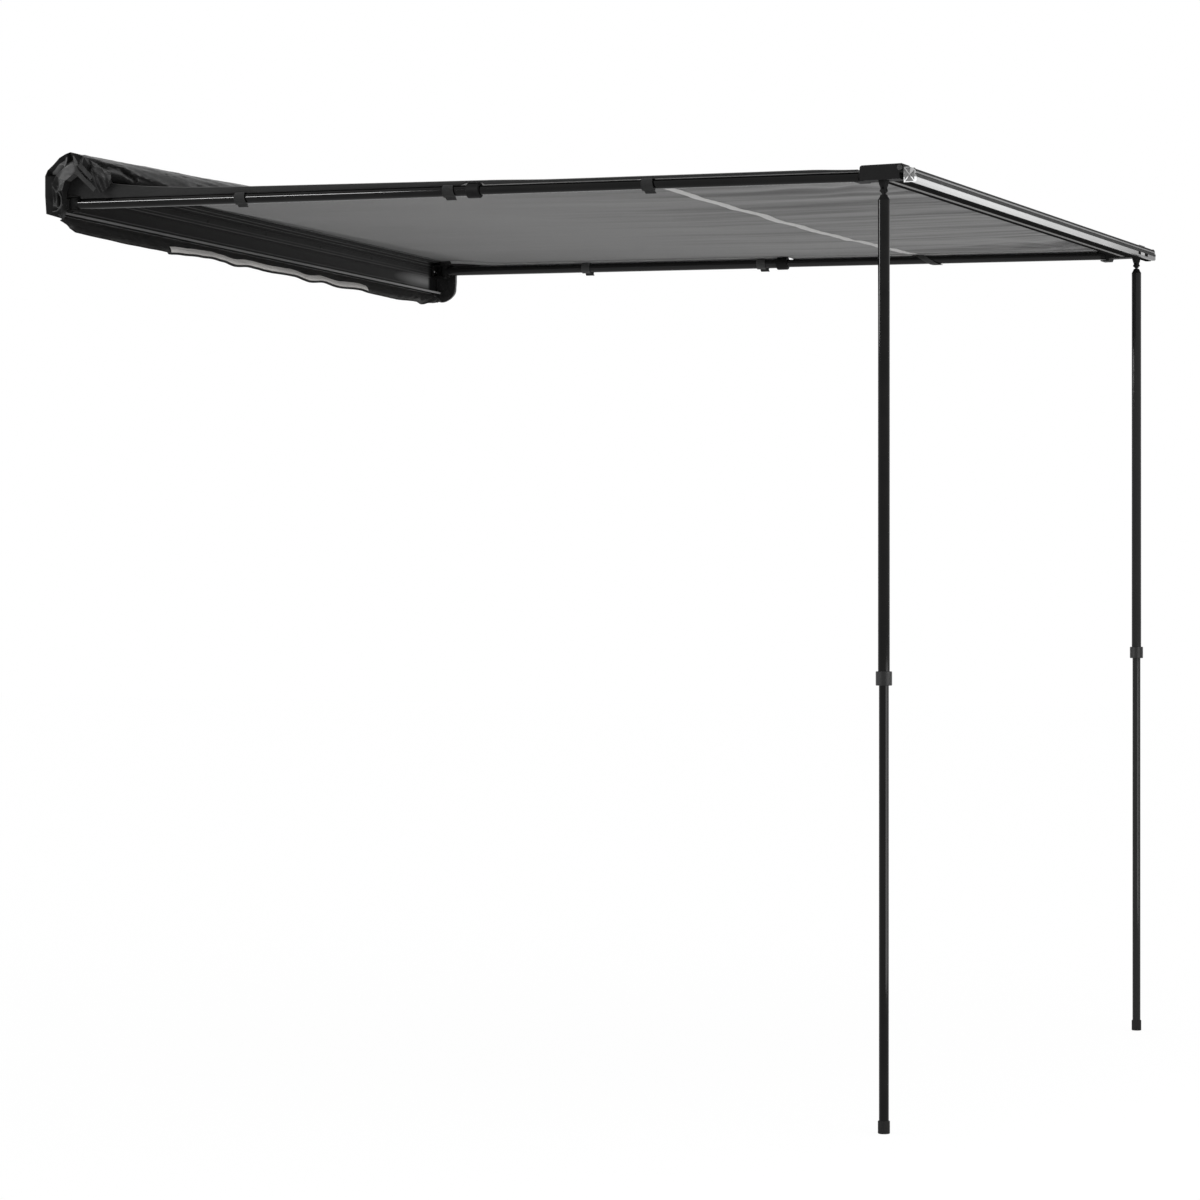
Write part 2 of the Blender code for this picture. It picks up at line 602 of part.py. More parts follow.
def leg_hinge(end):
    """The neck below the rail: a turned stub with a slot, its pin, and the leg's own half below it."""
    sign = SIDE[end]
    place = (sign * SPAN / 2, -LEG_OUT[end], -NECK_DROP)
    wide, waist = LEG_TUBE_R - 0.001, WAIST_R
    top = NECK_DROP - GAP
    reach = waist + 0.0002
    yoke = [(0, top), (wide, top), (wide, top - 0.0015), (waist + 0.002, NECK_DROP * 0.52), (waist, 0.0058),
            (waist, 0.0), (reach * 0.83, -reach * 0.55), (reach * 0.5, -reach * 0.85), (0, -reach)]
    made = turned(f"{end}_leg_yoke", BLACK_PLASTIC, yoke, place, (0, 0, 0), RAIL, False, 28)
    low, high = -0.0146, waist + 0.0006
    slot = box(f"{end}_yoke_slot", None, (0.06, TONGUE + 2 * GAP, high - low),
               (place[0], place[1], place[2] + (low + high) / 2), RAIL, collection=CUTTERS)
    combine(made, slot, "DIFFERENCE")
    hole = rod(f"{end}_yoke_hole", None, LEG_PIN_R + GAP, -0.05, 0.05, place, ALONG_Y, RAIL, steps=12,
               collection=CUTTERS)
    combine(made, hole, "DIFFERENCE")
    far = waist + GAP
    head = LEG_PIN_R + 0.0011
    pin = [(0, far + 0.001), (head, far + 0.001), (head, far), (LEG_PIN_R, far), (LEG_PIN_R, -far), (head, -far),
           (head, -far - 0.001), (0, -far - 0.001)]
    turned(f"{end}_leg_pin", STEEL, pin, place, ALONG_Y, RAIL, False, 12)
    return RAIL_Z + sign * RAIL_LIFT / 2 - NECK_DROP * math.cos(RAIL_TILT)


def corner_block(end):
    sign = SIDE[end]
    outline(f"{end}_corner_block", BLACK_PLASTIC, [block_section(end)], BLOCK_WIDTH, (sign * SPAN / 2, 0, 0),
            ALONG_X, RAIL)
    seat = sign * (SPAN / 2 + BLOCK_WIDTH / 2 + GAP)
    turn = (0, sign * math.pi / 2, 0)
    rod(f"{end}_block_screw", BLACK_PLASTIC, 0.0062, 0, 0.0030, (seat, BLOCK_OUT + 0.0072, BLOCK_HEIGHT * 0.72),
        turn, RAIL, 0.001, 20)


def leg(end, pivot_z):
    """In the leg's frame the pivot is the origin and the leg hangs along -Z."""
    sign = SIDE[end]
    tilt_shift = sign * (SPAN / 2 * (math.cos(RAIL_TILT) - 1)) + NECK_DROP * math.sin(RAIL_TILT)
    hub = frame(f"{end}_leg_frame", (sign * SPAN / 2 + tilt_shift, -LEG_OUT[end], pivot_z))
    wide, waist = LEG_TUBE_R - 0.001, WAIST_R
    plug = LEG_TUBE_R - LEG_WALL - GAP
    knuckle = turned(f"{end}_leg_knuckle", BLACK_PLASTIC,
                     [(0, -waist - 0.0014), (waist, -waist - 0.0014), (waist + 0.0016, -waist - 0.0057),
                      (wide, -NECK_LENGTH + 0.002),
                      (LEG_TUBE_R, -NECK_LENGTH + GAP + 0.0006), (LEG_TUBE_R, -NECK_LENGTH + GAP),
                      (plug, -NECK_LENGTH + GAP), (plug, -NECK_LENGTH - 0.022), (0, -NECK_LENGTH - 0.022)],
                     parent=hub, closed=False, steps=28)
    tongue = rod(f"{end}_tongue_round", None, waist - 0.0002, -TONGUE / 2, TONGUE / 2, (0, 0, 0), ALONG_Y, hub,
                 steps=24, collection=CUTTERS)
    combine(knuckle, tongue, "UNION")
    shank = box(f"{end}_tongue_shank", None, (2 * (waist - 0.0004), TONGUE, waist + 0.003),
                (0, 0, -waist / 2 - 0.0018), hub, collection=CUTTERS)
    combine(knuckle, shank, "UNION")
    hole = rod(f"{end}_tongue_hole", None, LEG_PIN_R + GAP, -0.05, 0.05, (0, 0, 0), ALONG_Y, hub, steps=12,
               collection=CUTTERS)
    combine(knuckle, hole, "DIFFERENCE")
    end_of_upper = -NECK_LENGTH - LEG_UPPER_LENGTH
    tube(f"{end}_leg_upper_tube", GLOSS_BLACK, LEG_TUBE_R, LEG_WALL, end_of_upper, -NECK_LENGTH, parent=hub)
    fat, thin = LEG_TUBE_R + COLLAR_GAP, LEG_INNER_R + COLLAR_GAP
    half = COLLAR_HEIGHT / 2
    turned(f"{end}_leg_lock_collar", GREY_PLASTIC,
           [(LEG_COLLAR_R - 0.0012, half), (LEG_COLLAR_R, half - 0.0012), (LEG_COLLAR_R, -half + 0.0012),
            (LEG_COLLAR_R - 0.0012, -half), (thin, -half), (thin, -COLLAR_GAP), (fat, -COLLAR_GAP), (fat, half)],
           (0, 0, end_of_upper), (0, 0, 0), hub)
    sole = GROUND_Z - pivot_z
    foot_top = sole + FOOT_HEIGHT
    seat = sole + FOOT_FLOOR
    tube(f"{end}_leg_lower_tube", GLOSS_BLACK, LEG_INNER_R, LEG_WALL - 0.0001, seat + GAP,
         seat + GAP + LEG_LOWER_LENGTH, parent=hub)
    turned(f"{end}_leg_foot", BLACK_RUBBER,
           [(0, seat), (LEG_INNER_R + GAP, seat), (LEG_INNER_R + GAP, foot_top), (FOOT_R - 0.001, foot_top),
            (FOOT_R, foot_top - 0.001), (FOOT_R, sole + 0.001), (FOOT_R - 0.001, sole), (0, sole)],
           parent=hub, closed=False)


for end in SIDE:
    corner_block(end)
    leg(end, leg_hinge(end))


# Canopy
def arm_axis(end, y):
    """Height of an arm's axis at a distance from the vehicle."""
    return ARM_UP[end] - (-ARM_PIVOT_OUT - y) * math.tan(ARM_TILT)


def ease(value):
    value = min(max(value, 0.0), 1.0)
    return value * value * (3 - 2 * value)


def hem_height(end, y):
    return HEM_HEIGHT[end] + (HEM_END - HEM_HEIGHT[end]) * ease((-y / REACH - 0.25) / 0.45)


def tube_radius(y):
    """Outside of the arm under the cloth, which settles from the outer tube to the inner one."""
    return ARM_TUBE_R + (ARM_INNER_R - ARM_TUBE_R) * ease((-y - ARM_PIVOT_OUT - ARM_OUTER_END - 0.04) / 0.15)


COLLAR_BESIDE_HEM = math.sqrt(max(ARM_COLLAR_R ** 2 - HEM_OUT ** 2, 0)) - ARM_TUBE_R
HEM_LIFT = max(STRAP_GAP + STRAP_THICK, COLLAR_BESIDE_HEM) + 2 * GAP  # hem's lower edge above the arm's tube


def edge_height(end, y):
    return arm_axis(end, y) + tube_radius(y) + HEM_LIFT + hem_height(end, y) + 2 * GAP + CANOPY_THICK


CANOPY_IN = -LIP_REACH - GAP
CANOPY_OUT = RAIL_IN + GAP + INNER_DEPTH + GAP


def canopy_height(x, y):
    across = (x + ARM_X) / (2 * ARM_X)
    along = (CANOPY_IN - y) / (CANOPY_IN - CANOPY_OUT)
    plane = edge_height("near", y) + (edge_height("far", y) - edge_height("near", y)) * across
    belly = max(1 - (x / ARM_X) ** 2, 0.0) * math.sin(math.pi * min(max(along, 0), 1)) ** 0.7
    folds = math.sin(2 * math.pi * x / 0.26 + 0.6) * ease((along - 0.55) / 0.3) * ease((1 - along) / 0.06)
    seat = RAIL_Z + x * math.tan(RAIL_TILT) + CLOTH_SEAT
    plane += (seat - plane) * ease((SEAT_BLEND - REACH - y) / SEAT_BLEND)
    plane += -CANOPY_SAG * belly + 0.0022 * folds * max(1 - (x / ARM_X) ** 2, 0.0)
    start = TRACK_UP + CANOPY_THICK / 2
    drawn = ease((CANOPY_IN - y) / CANOPY_BLEND)
    slung = 1 - math.exp(-max(CANOPY_IN - y, 0) / SLUNG_LENGTH)
    drawn += (slung - drawn) * ease((-x / ARM_X - 0.76) / 0.22) * ease((CANOPY_IN - y) / 0.05)
    return start + (plane - start) * drawn


def rows_through(extra, count):
    """Stations from the sail track to the rail, passing exactly through the extra ones."""
    even = spread(CANOPY_IN, CANOPY_OUT, count)
    kept = [y for y in even if all(abs(y - other) > 0.03 for other in extra)]
    return sorted(kept + list(extra), reverse=True)


CANOPY_X = ARM_X + HEM_OUT + HEM_THICK
COLUMNS = [CANOPY_X * v for v in spread(-1, 1, 33)]
WEB_ROWS = (-WEB_AT + WEB_WIDTH / 2, -WEB_AT - WEB_WIDTH / 2)
BLOCK_EDGE = BLOCK_IN + GAP
ROWS = rows_through((*WEB_ROWS, CANOPY_IN - 0.05, CANOPY_IN - 0.11), 13)
canopy = sheet("canopy", CANOPY_CLOTH, COLUMNS, sorted(ROWS), canopy_height, CANOPY_THICK)
for end, sign in SIDE.items():
    lean = (BLOCK_HEIGHT + 0.01) * math.sin(RAIL_TILT)
    width = CANOPY_X - SPAN / 2 + BLOCK_WIDTH / 2 + lean + GAP + 0.02
    notch = box(f"{end}_canopy_notch", None, (width, 0.10, 0.3),
                (sign * (CANOPY_X + 0.02 - width / 2), BLOCK_EDGE - 0.05, RAIL_Z), collection=CUTTERS)
    combine(canopy, notch, "DIFFERENCE")


def hem(end):
    """A band hanging from the canopy's side edge down to just above the arm."""
    sign = SIDE[end]
    inner = sign * (ARM_X + HEM_OUT)
    outer = sign * (ARM_X + HEM_OUT + HEM_THICK)
    rings = []
    start = CANOPY_IN - 0.075
    for y in [v for v in ROWS if BLOCK_EDGE + 0.012 < v < start - 0.02] + [BLOCK_EDGE + 0.0005]:
        top = canopy_height(sign * CANOPY_X, y) - CANOPY_THICK - 2 * GAP
        low = min(arm_axis(end, y) + tube_radius(y) + HEM_LIFT, top - 0.0018)
        rings.append([(inner, y, top), (outer, y, top), (outer, y, low), (inner, y, low)])
    return loft(f"{end}_canopy_hem", BLACK_CLOTH, rings)


def strap(end, number, out):
    """A hook-and-loop strap closed round the arm, its neck sewn under the canopy."""
    sign = SIDE[end]
    reach = (out - ARM_PIVOT_OUT) / math.cos(ARM_TILT)
    radius = (ARM_TUBE_R if reach < ARM_OUTER_END else ARM_INNER_R) + STRAP_GAP
    around = radius + STRAP_THICK
    y = -out
    low = min(canopy_height(sign * ARM_X, v) for v in (y - STRAP_WIDTH, y, y + STRAP_WIDTH))
    top = low - CANOPY_THICK - arm_axis(end, y) - 0.0016
    neck = 0.0060
    lean = math.degrees(math.asin(neck / around))
    ring = arc(0, 0, around, 90 + lean, 450 - lean, 25)
    outer = [(-neck, top)] + ring + [(neck, top)]
    hole = arc(0, 0, radius, 0, 345, 24)
    outline(f"{end}_arm_strap_{number}", BLACK_CLOTH, [outer, hole], STRAP_WIDTH, (0, -reach, 0), ALONG_Y,
            ARM_FRAMES[end])


for end in SIDE:
    hem(end)
    for number, out in enumerate(STRAP_AT, 1):
        strap(end, number, out)

inside = [x for x in COLUMNS if abs(x) < ARM_X - 0.03]
sheet("canopy_web_strip", PALE_CLOTH, inside, sorted(WEB_ROWS),
      lambda x, y: canopy_height(x, y) - CANOPY_THICK - 2 * GAP, WEB_THICK)


# Bag
END_AT = BACK_LENGTH / 2 + 2 * GAP + CAP_THICK


def bag_ring(x):
    """One section of the bunched bag on top of the backplate, flat where it rests."""
    ring = []
    along = x / BACK_LENGTH + 0.5
    swell = 1 + 0.05 * math.sin(9.0 * along + 0.8) + 0.03 * math.sin(23.0 * along)
    low = BACK_TOP + 2 * GAP
    middle_y = -BAG_OUT / 2
    half_y = BAG_OUT / 2 - 0.002
    half_z = (min(BAG_TOP, BAG_END_TOP + BAG_RISE * (x + END_AT)) - low) / 2
    for i in range(16):
        a = 2 * math.pi * i / 16
        fold = 1 + 0.05 * math.sin(3 * a + 14 * along) * swell
        y = middle_y + half_y * fold * 0.95 * math.copysign(abs(math.cos(a)) ** 0.8, math.cos(a))
        z = low + half_z + half_z * 0.96 * fold * swell * math.copysign(abs(math.sin(a)) ** 0.8, math.sin(a))
        floor = low if y > -LIP_REACH + 0.004 else low + 0.006
        resting = math.sin(a) < -0.35
        ring.append((x, min(y, -0.001), floor if resting else max(z, floor)))
    return ring


loft("bag_upper", BAG_CLOTH, [bag_ring(x) for x in spread(GAP - END_AT, END_AT - GAP, 27)])


def flap_ring(x):
    """The bag's lower flap hanging under the backplate's lip."""
    along = x / BACK_LENGTH + 0.5
    drop = FLAP_DROP + FLAP_SAG * math.exp(-((x - 0.3) / 0.45) ** 2) - 0.4 * FLAP_SAG * ease((-x - 0.8) / 0.2)
    drop += 0.0015 * math.sin(17 * along) + 0.001 * math.sin(41 * along + 1) - FLAP_SAG * ease((x - 0.6) / 0.35)
    out = -0.024 - 0.002 * math.sin(11 * along + 2)
    top = -BACK_TOP - 2 * GAP
    low = top - drop
    return [(x, -0.004, top), (x, -0.004 - FLAP_THICK, top), (x, -0.004 - FLAP_THICK - 0.008, top - drop * 0.35),
            (x, out - FLAP_THICK, low + 0.002), (x, out - FLAP_THICK / 2, low), (x, out, low + 0.001),
            (x, -0.004 - 0.008, top - drop * 0.4)]


FLAP_STATIONS = spread(-BACK_LENGTH / 2, BACK_LENGTH / 2, 41)
loft("bag_lower_flap", BAG_CLOTH, [flap_ring(x) for x in FLAP_STATIONS])


def lining_ring(x):
    """The pale lining that shows along the lower half of the flap's front."""
    flap = flap_ring(x)
    upper, lower = Vector(flap[2]), Vector(flap[3])
    out = Vector((0, -0.0006, -0.0001))
    high = upper.lerp(lower, 0.45) + out
    low = upper.lerp(lower, 0.97) + out
    thick = Vector((0, -0.0012, -0.0003))
    return [high, low, low + thick, high + thick]


loft("bag_lining_strip", PALE_CLOTH, [lining_ring(x) for x in FLAP_STATIONS if LINING_FROM < x < LINING_TO])

NEAR_END = [(0.0, -0.052), (-0.034, -0.064), (-0.041, -0.052), (-0.040, -0.030), (-0.042, 0.000), (-0.050, 0.022),
            (-0.075, 0.034), (-0.104, 0.044), (-0.110, 0.062), (-0.100, 0.078), (-0.070, 0.089), (-0.052, 0.083),
            (-0.030, 0.070), (0.0, 0.046)]
FAR_END = [(0.0, -0.050), (-0.006, -0.066), (-0.020, -0.073), (-0.038, -0.068), (-0.054, -0.056), (-0.067, -0.038),
           (-0.073, -0.018), (-0.072, 0.030), (-0.064, 0.070), (-0.046, 0.092), (-0.022, 0.098), (0.0, 0.088)]
for end, sign, shape, thick in (("near", -1, NEAR_END, BAG_END_THICK), ("far", 1, FAR_END, 0.018)):
    made = outline(f"bag_{end}_end", BAG_CLOTH, [shape], thick, (sign * (END_AT + thick / 2), 0, 0), ALONG_X)
    weld = made.modifiers.new("weld", "WELD")
    weld.merge_threshold = 0.00001
    rounding = made.modifiers.new("edges", "BEVEL")
    rounding.width = 0.005
    rounding.segments = 2

box("bag_tie", BLACK_CLOTH, (TIE_THICK, 0.020, 0.088), (-END_AT - BAG_END_THICK - GAP - TIE_THICK / 2, -0.1, 0.03),
    rotation=(math.radians(-36), 0, 0), bevel=0.0005)
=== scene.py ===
"""Looks of a vehicle side awning: soft pieces, finishes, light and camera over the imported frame."""
import math

import bmesh
import bpy
import numpy as np
from mathutils import Matrix, Vector, geometry, noise


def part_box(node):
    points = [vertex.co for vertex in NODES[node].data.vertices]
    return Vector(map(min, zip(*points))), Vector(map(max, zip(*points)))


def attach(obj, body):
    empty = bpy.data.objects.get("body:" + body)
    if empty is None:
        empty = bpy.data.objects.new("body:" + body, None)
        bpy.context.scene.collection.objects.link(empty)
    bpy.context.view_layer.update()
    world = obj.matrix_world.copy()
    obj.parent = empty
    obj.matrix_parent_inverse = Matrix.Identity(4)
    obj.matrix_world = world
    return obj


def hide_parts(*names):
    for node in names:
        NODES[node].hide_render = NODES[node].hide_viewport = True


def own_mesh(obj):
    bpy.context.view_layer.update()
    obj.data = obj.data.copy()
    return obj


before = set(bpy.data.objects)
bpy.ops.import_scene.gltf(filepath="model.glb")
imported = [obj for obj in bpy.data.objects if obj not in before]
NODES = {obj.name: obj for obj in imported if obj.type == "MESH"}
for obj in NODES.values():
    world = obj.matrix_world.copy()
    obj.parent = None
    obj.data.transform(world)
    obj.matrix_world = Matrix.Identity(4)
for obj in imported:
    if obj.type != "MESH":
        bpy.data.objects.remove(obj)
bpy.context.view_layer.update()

SIDE = {"near": -1.0, "far": 1.0}
GAP = 0.0003

# Where the camera stood, from the photograph
CAMERA_PLACE = (-7.6268, -4.2786, -1.0367)
CAMERA_AHEAD = (0.9173, 0.3982, 0.0)
CAMERA_LENS = 99.44
CAMERA_SHIFT = 0.0289

# Places read from the frame
BACK_LOW, BACK_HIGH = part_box("backplate")
BACK_TOP = BACK_HIGH.z
LIP_REACH = -BACK_LOW.y
BACK_HALF = BACK_HIGH.x
GROUND_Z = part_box("near_leg_foot")[0].z
BLOCK_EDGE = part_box("near_corner_block")[1].y + GAP
CANOPY_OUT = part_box("rail_inner_section")[1].y + GAP

# Sizes that the CAD model's cloth follows
REACH = 2.006
ARM_X = 0.985
ARM_UP = {"near": -0.027, "far": 0.013}
ARM_PIVOT_OUT = 0.052
ARM_TUBE_R = 0.0125
ARM_INNER_R = 0.0105
ARM_OUTER_END = 1.040
ARM_SLOPE = 0.0435 / (REACH - ARM_PIVOT_OUT)
RAIL_Z = -0.0602
RAIL_SLOPE = 0.0225
CLOTH_SEAT = 0.0278
CANOPY_THICK = 0.0016
CANOPY_SAG = 0.012
CANOPY_BLEND = 0.22
FOLD_PITCH = 0.26
FOLD_HEIGHT = 0.0022
SLUNG_LENGTH = 0.14
SEAT_BLEND = 0.12
HEM_HEIGHT = {"near": 0.0068, "far": 0.0022}
HEM_END = 0.0020
HEM_THICK = 0.0020
HEM_OUT = 0.0075
HEM_LIFT = 0.0036
STRAP_WIDTH = 0.025
STRAP_AT = (0.50, 1.03, 1.51)
WEB_AT = 1.48
WEB_WIDTH = 0.025
CANOPY_IN = -LIP_REACH - GAP
CANOPY_X = ARM_X + HEM_OUT + HEM_THICK

# Painted highlights along the edges of the backplate's front: height, half width and how light
EDGE_HIGHLIGHTS = [
    (0.0372, 0.0007, 0.105), (0.0300, 0.0008, 0.110), (0.0076, 0.0006, 0.075), (0.0004, 0.0008, 0.095),
    (-0.0355, 0.0008, 0.095),
]

# Faces of the near end's folds with a painted highlight: outline as (out, up) points, how light
FOLD_HIGHLIGHTS = [
    ([(-0.0082, 0.0406), (-0.0343, 0.0637), (-0.0575, 0.0798), (-0.0534, 0.0591), (-0.0247, 0.0397)], 0.20),
    ([(-0.0247, 0.0362), (-0.0521, 0.0557), (-0.0794, 0.0693), (-0.0876, 0.0432), (-0.0575, 0.0227),
      (-0.0329, 0.0287)], 0.065),
    ([(-0.0753, 0.0812), (-0.0862, 0.0572), (-0.0794, 0.0553), (-0.0698, 0.0791)], 0.12),
    ([(-0.0889, 0.0419), (-0.0903, 0.0372), (-0.0575, 0.0169), (-0.0534, 0.0218)], 0.16),
]
BAG_RISE = 0.032
# Height of the painted highlight along the roll's crest
BAG_CREST = 0.1090


# Materials
def set_inputs(node, values):
    """Sets constants on a node's input sockets by name."""
    for name, value in values.items():
        node.inputs[name].default_value = value


def grey(value, warm=0.0):
    """A near-neutral opaque colour; warm shifts it to red and away from blue."""
    return (value * (1 + warm), value, value * (1 - warm), 1.0)


class Look:
    """A procedural finish on one Principled shader, textured in the object's own coordinates."""

    def __init__(self, name, roughness, metallic=0.0, specular=0.5, sheen=0.0):
        self.material = bpy.data.materials.new(name)
        self.material.use_nodes = True
        self.tree = self.material.node_tree
        self.shader = self.tree.nodes["Principled BSDF"]
        set_inputs(self.shader, {"Roughness": roughness, "Metallic": metallic,
                                 "Specular IOR Level": specular, "Sheen Weight": sheen})
        self.place = self.node("TexCoord").outputs["Object"]
        self.normal = None

    def node(self, kind, values=None, **settings):
        """A new node with its settings and the constants on its input sockets."""
        made = self.tree.nodes.new("ShaderNode" + kind)
        for key, value in settings.items():
            setattr(made, key, value)
        set_inputs(made, values or {})
        return made

    def join(self, start, end):
        self.tree.links.new(start, end)

    def mapped(self, stretch=(1, 1, 1), shift=(0, 0, 0)):
        mapping = self.node("Mapping", {"Location": shift, "Scale": stretch})
        self.join(self.place, mapping.inputs["Vector"])
        return mapping.outputs["Vector"]

    def noise(self, scale, stretch=(1, 1, 1), detail=4.0, rough=0.5, distortion=0.0):
        made = self.node("TexNoise", {"Scale": scale, "Detail": detail, "Roughness": rough,
                                      "Distortion": distortion})
        self.join(self.mapped(stretch), made.inputs["Vector"])
        return made.outputs["Fac"]

    def wave(self, scale, direction, distortion=0.0):
        """Even bands across a direction."""
        made = self.node("TexWave", {"Scale": scale, "Distortion": distortion, "Detail": 1.0},
                         bands_direction=direction)
        self.join(self.mapped(), made.inputs["Vector"])
        return made.outputs["Fac"]

    def cells(self, scale):
        made = self.node("TexVoronoi", {"Scale": scale}, feature="F1")
        self.join(self.mapped(), made.inputs["Vector"])
        return made.outputs["Distance"]

    def span(self, value, low, high, start=0.0, stop=1.0):
        """Maps low to start and high to stop, and holds the value beyond them."""
        made = self.node("MapRange", {"From Min": low, "From Max": high, "To Min": start, "To Max": stop})
        self.join(value, made.inputs["Value"])
        return made.outputs["Result"]

    def maths(self, operation, *values):
        made = self.node("Math", operation=operation)
        for socket, value in zip(made.inputs, values):
            if isinstance(value, (int, float)):
                socket.default_value = value
            else:
                self.join(value, socket)
        return made.outputs["Value"]

    def times(self, first, second):
        return self.maths("MULTIPLY", first, second)

    def weave(self, scale, crossing, distortion):
        """Plain weave: threads along the vehicle and threads that cross them."""
        warp = self.wave(scale, "X", distortion)
        return self.maths("MAXIMUM", warp, self.wave(scale, crossing, distortion))

    def along(self, direction):
        """Place measured along a direction."""
        made = self.node("VectorMath", operation="DOT_PRODUCT")
        self.join(self.place, made.inputs[0])
        made.inputs[1].default_value = direction
        return made.outputs["Value"]

    def height(self, slope=0.0):
        """Height above the object's origin, less a slope along the vehicle."""
        return self.along((-slope, 0, 1))

    def outward(self):
        """Distance from the vehicle."""
        return self.along((0, -1, 0))

    def across(self):
        """Place along the vehicle."""
        return self.along((1, 0, 0))

    def stripe(self, value, middle, half, soft):
        """1 within half of the middle value, falling to 0 over a soft edge."""
        off = self.maths("ABSOLUTE", self.maths("SUBTRACT", value, middle), 0)
        return self.span(off, half, half + soft, 1.0, 0.0)

    def facet(self, corners, soft):
        """1 inside a convex outline given as (out, up) points, with a soft edge."""
        middle = sum((Vector(c) for c in corners), Vector((0, 0))) / len(corners)
        inside = None
        for start, stop in zip(corners, [*corners[1:], corners[0]]):
            start = Vector(start)
            side = (Vector(stop) - start).normalized()
            inward = Vector((-side.y, side.x))
            inward *= math.copysign(1.0, inward.dot(middle - start))
            edge = inward.dot(start)
            share = self.span(self.along((0, *inward)), edge, edge + soft)
            inside = share if inside is None else self.times(inside, share)
        return inside

    def patch(self, centre, reach):
        """1 at a point and 0 at an ellipsoid's surface round it."""
        made = self.node("TexGradient", gradient_type="SPHERICAL")
        stretch = tuple(1 / r for r in reach)
        shift = tuple(-c / r for c, r in zip(centre, reach))
        self.join(self.mapped(stretch, shift=shift), made.inputs["Vector"])
        return made.outputs["Fac"]

    def lighten(self, factor, value, warm=0.0):
        """Lays a grey over the base colour where the factor is 1."""
        made = self.node("Mix", data_type="RGBA")
        before = self.shader.inputs["Base Color"].links[0].from_socket
        self.join(factor, made.inputs[0])
        self.join(before, made.inputs[6])
        made.inputs[7].default_value = grey(value, warm)
        self.join(made.outputs[2], self.shader.inputs["Base Color"])

    def tint(self, factor, *stops):
        """Base colour from a ramp of (position, grey level) stops; a third number is its warmth."""
        made = self.node("ValToRGB")
        ramp = made.color_ramp
        while len(ramp.elements) < len(stops):
            ramp.elements.new(1.0)
        for element, (position, *colour) in zip(ramp.elements, stops):
            element.position = position
            element.color = grey(*colour)
        self.join(factor, made.inputs["Fac"])
        self.join(made.outputs["Color"], self.shader.inputs["Base Color"])

    def roughen(self, factor, smoothest, roughest):
        """Varies the roughness with a factor, over its middle half."""
        self.join(self.span(factor, 0.25, 0.75, smoothest, roughest), self.shader.inputs["Roughness"])

    def bump(self, height, distance, strength=1.0):
        """Adds relief to the reliefs laid before."""
        made = self.node("Bump", {"Distance": distance, "Strength": strength})
        self.join(height, made.inputs["Height"])
        if self.normal:
            self.join(self.normal, made.inputs["Normal"])
        self.normal = made.outputs["Normal"]
        self.join(self.normal, self.shader.inputs["Normal"])


def black_extrusion(name, specular, dark, light):
    """Anodised aluminium with fine draw lines along the vehicle and a little dust."""
    look = Look(name, 0.45, 0.0, specular)
    lines = look.noise(1.0, (3, 700, 700), 3)
    dust = look.noise(9.0, (1, 1, 1), 6, 0.65)
    look.tint(look.times(lines, dust), (0.05, dark), (0.45, light, 0.02))
    look.roughen(dust, 0.36, 0.56)
    look.bump(lines, 0.00006, 0.5)
    return look


def backplate_finish(name):
    """Black extrusion: painted highlights on its draw edges, brightest along the lip; painted light and a
    painted reflection towards the far end.
    """
    look = black_extrusion(name, 0.05, 0.013, 0.022)
    height = look.height()
    out = look.outward()
    across = look.across()
    # Noise that breaks up the painted highlights on the edges and the lip
    rubbed = look.noise(1.0, (4, 60, 60), 4, 0.6)
    # Painted light: lighter towards the far end
    look.lighten(look.span(across, -0.95, 0.8, 0.0, 0.75), 0.046)
    # Painted highlight along each listed edge
    for up, half, level in EDGE_HIGHLIGHTS:
        edge = look.stripe(height, up, half, 0.0007)
        look.lighten(look.times(edge, look.span(rubbed, 0.2, 0.6, 0.55, 1.0)), level)
    # Painted highlight along the lip's front edge, brighter towards the far end
    lip = look.times(look.span(out, 0.0284, 0.0292), look.span(height, -0.040, -0.042))
    look.lighten(look.times(lip, look.span(rubbed, 0.2, 0.6, 0.6, 1.0)), 0.18)
    look.lighten(look.times(lip, look.span(across, 0.1, 0.9)), 0.32)
    # Painted reflection: a pale patch low on the face near the far end
    dust = look.patch((0.930, -0.016, -0.020), (0.20, 0.05, 0.024))
    look.lighten(look.span(dust, 0.0, 0.85), 0.27)
    # Painted shade beside the far bracket
    corner = look.times(look.span(across, 0.948, 0.962), look.span(out, 0.026, 0.024))
    look.lighten(corner, 0.012)
    return look.material


def rail_inner_finish(name):
    """Matt black section with a painted highlight along the edge of a slot on its underside."""
    look = black_extrusion(name, 0.0, 0.010, 0.020)
    # Painted highlight along the slot's edge
    slot = look.stripe(look.outward(), 2.0535, 0.0045, 0.0012)
    look.lighten(slot, 0.28, 0.01)
    return look.material


def gloss_tube(name, along):
    """Black lacquered tube: faint flow lines along it, orange peel, dust, and painted light at the far end.
    """
    stretch = {"y": (260, 2, 260), "z": (260, 260, 2)}[along]
    look = Look(name, 0.22, 0.0, 0.15)
    flow = look.noise(1.0, stretch, 2)
    peel = look.noise(420, (1, 1, 1), 2)
    dust = look.noise(14.0, (1, 1, 1), 6, 0.7)
    look.tint(dust, (0.35, 0.0020), (0.75, 0.0060, 0.05))
    look.roughen(dust, 0.045, 0.10)
    look.bump(peel, 0.00003, 0.15)
    look.bump(flow, 0.00003, 0.15)
    # Painted light: the far arm and the far leg are made lighter
    look.lighten(look.span(look.across(), 0.90, 0.95), 0.017)
    return look.material


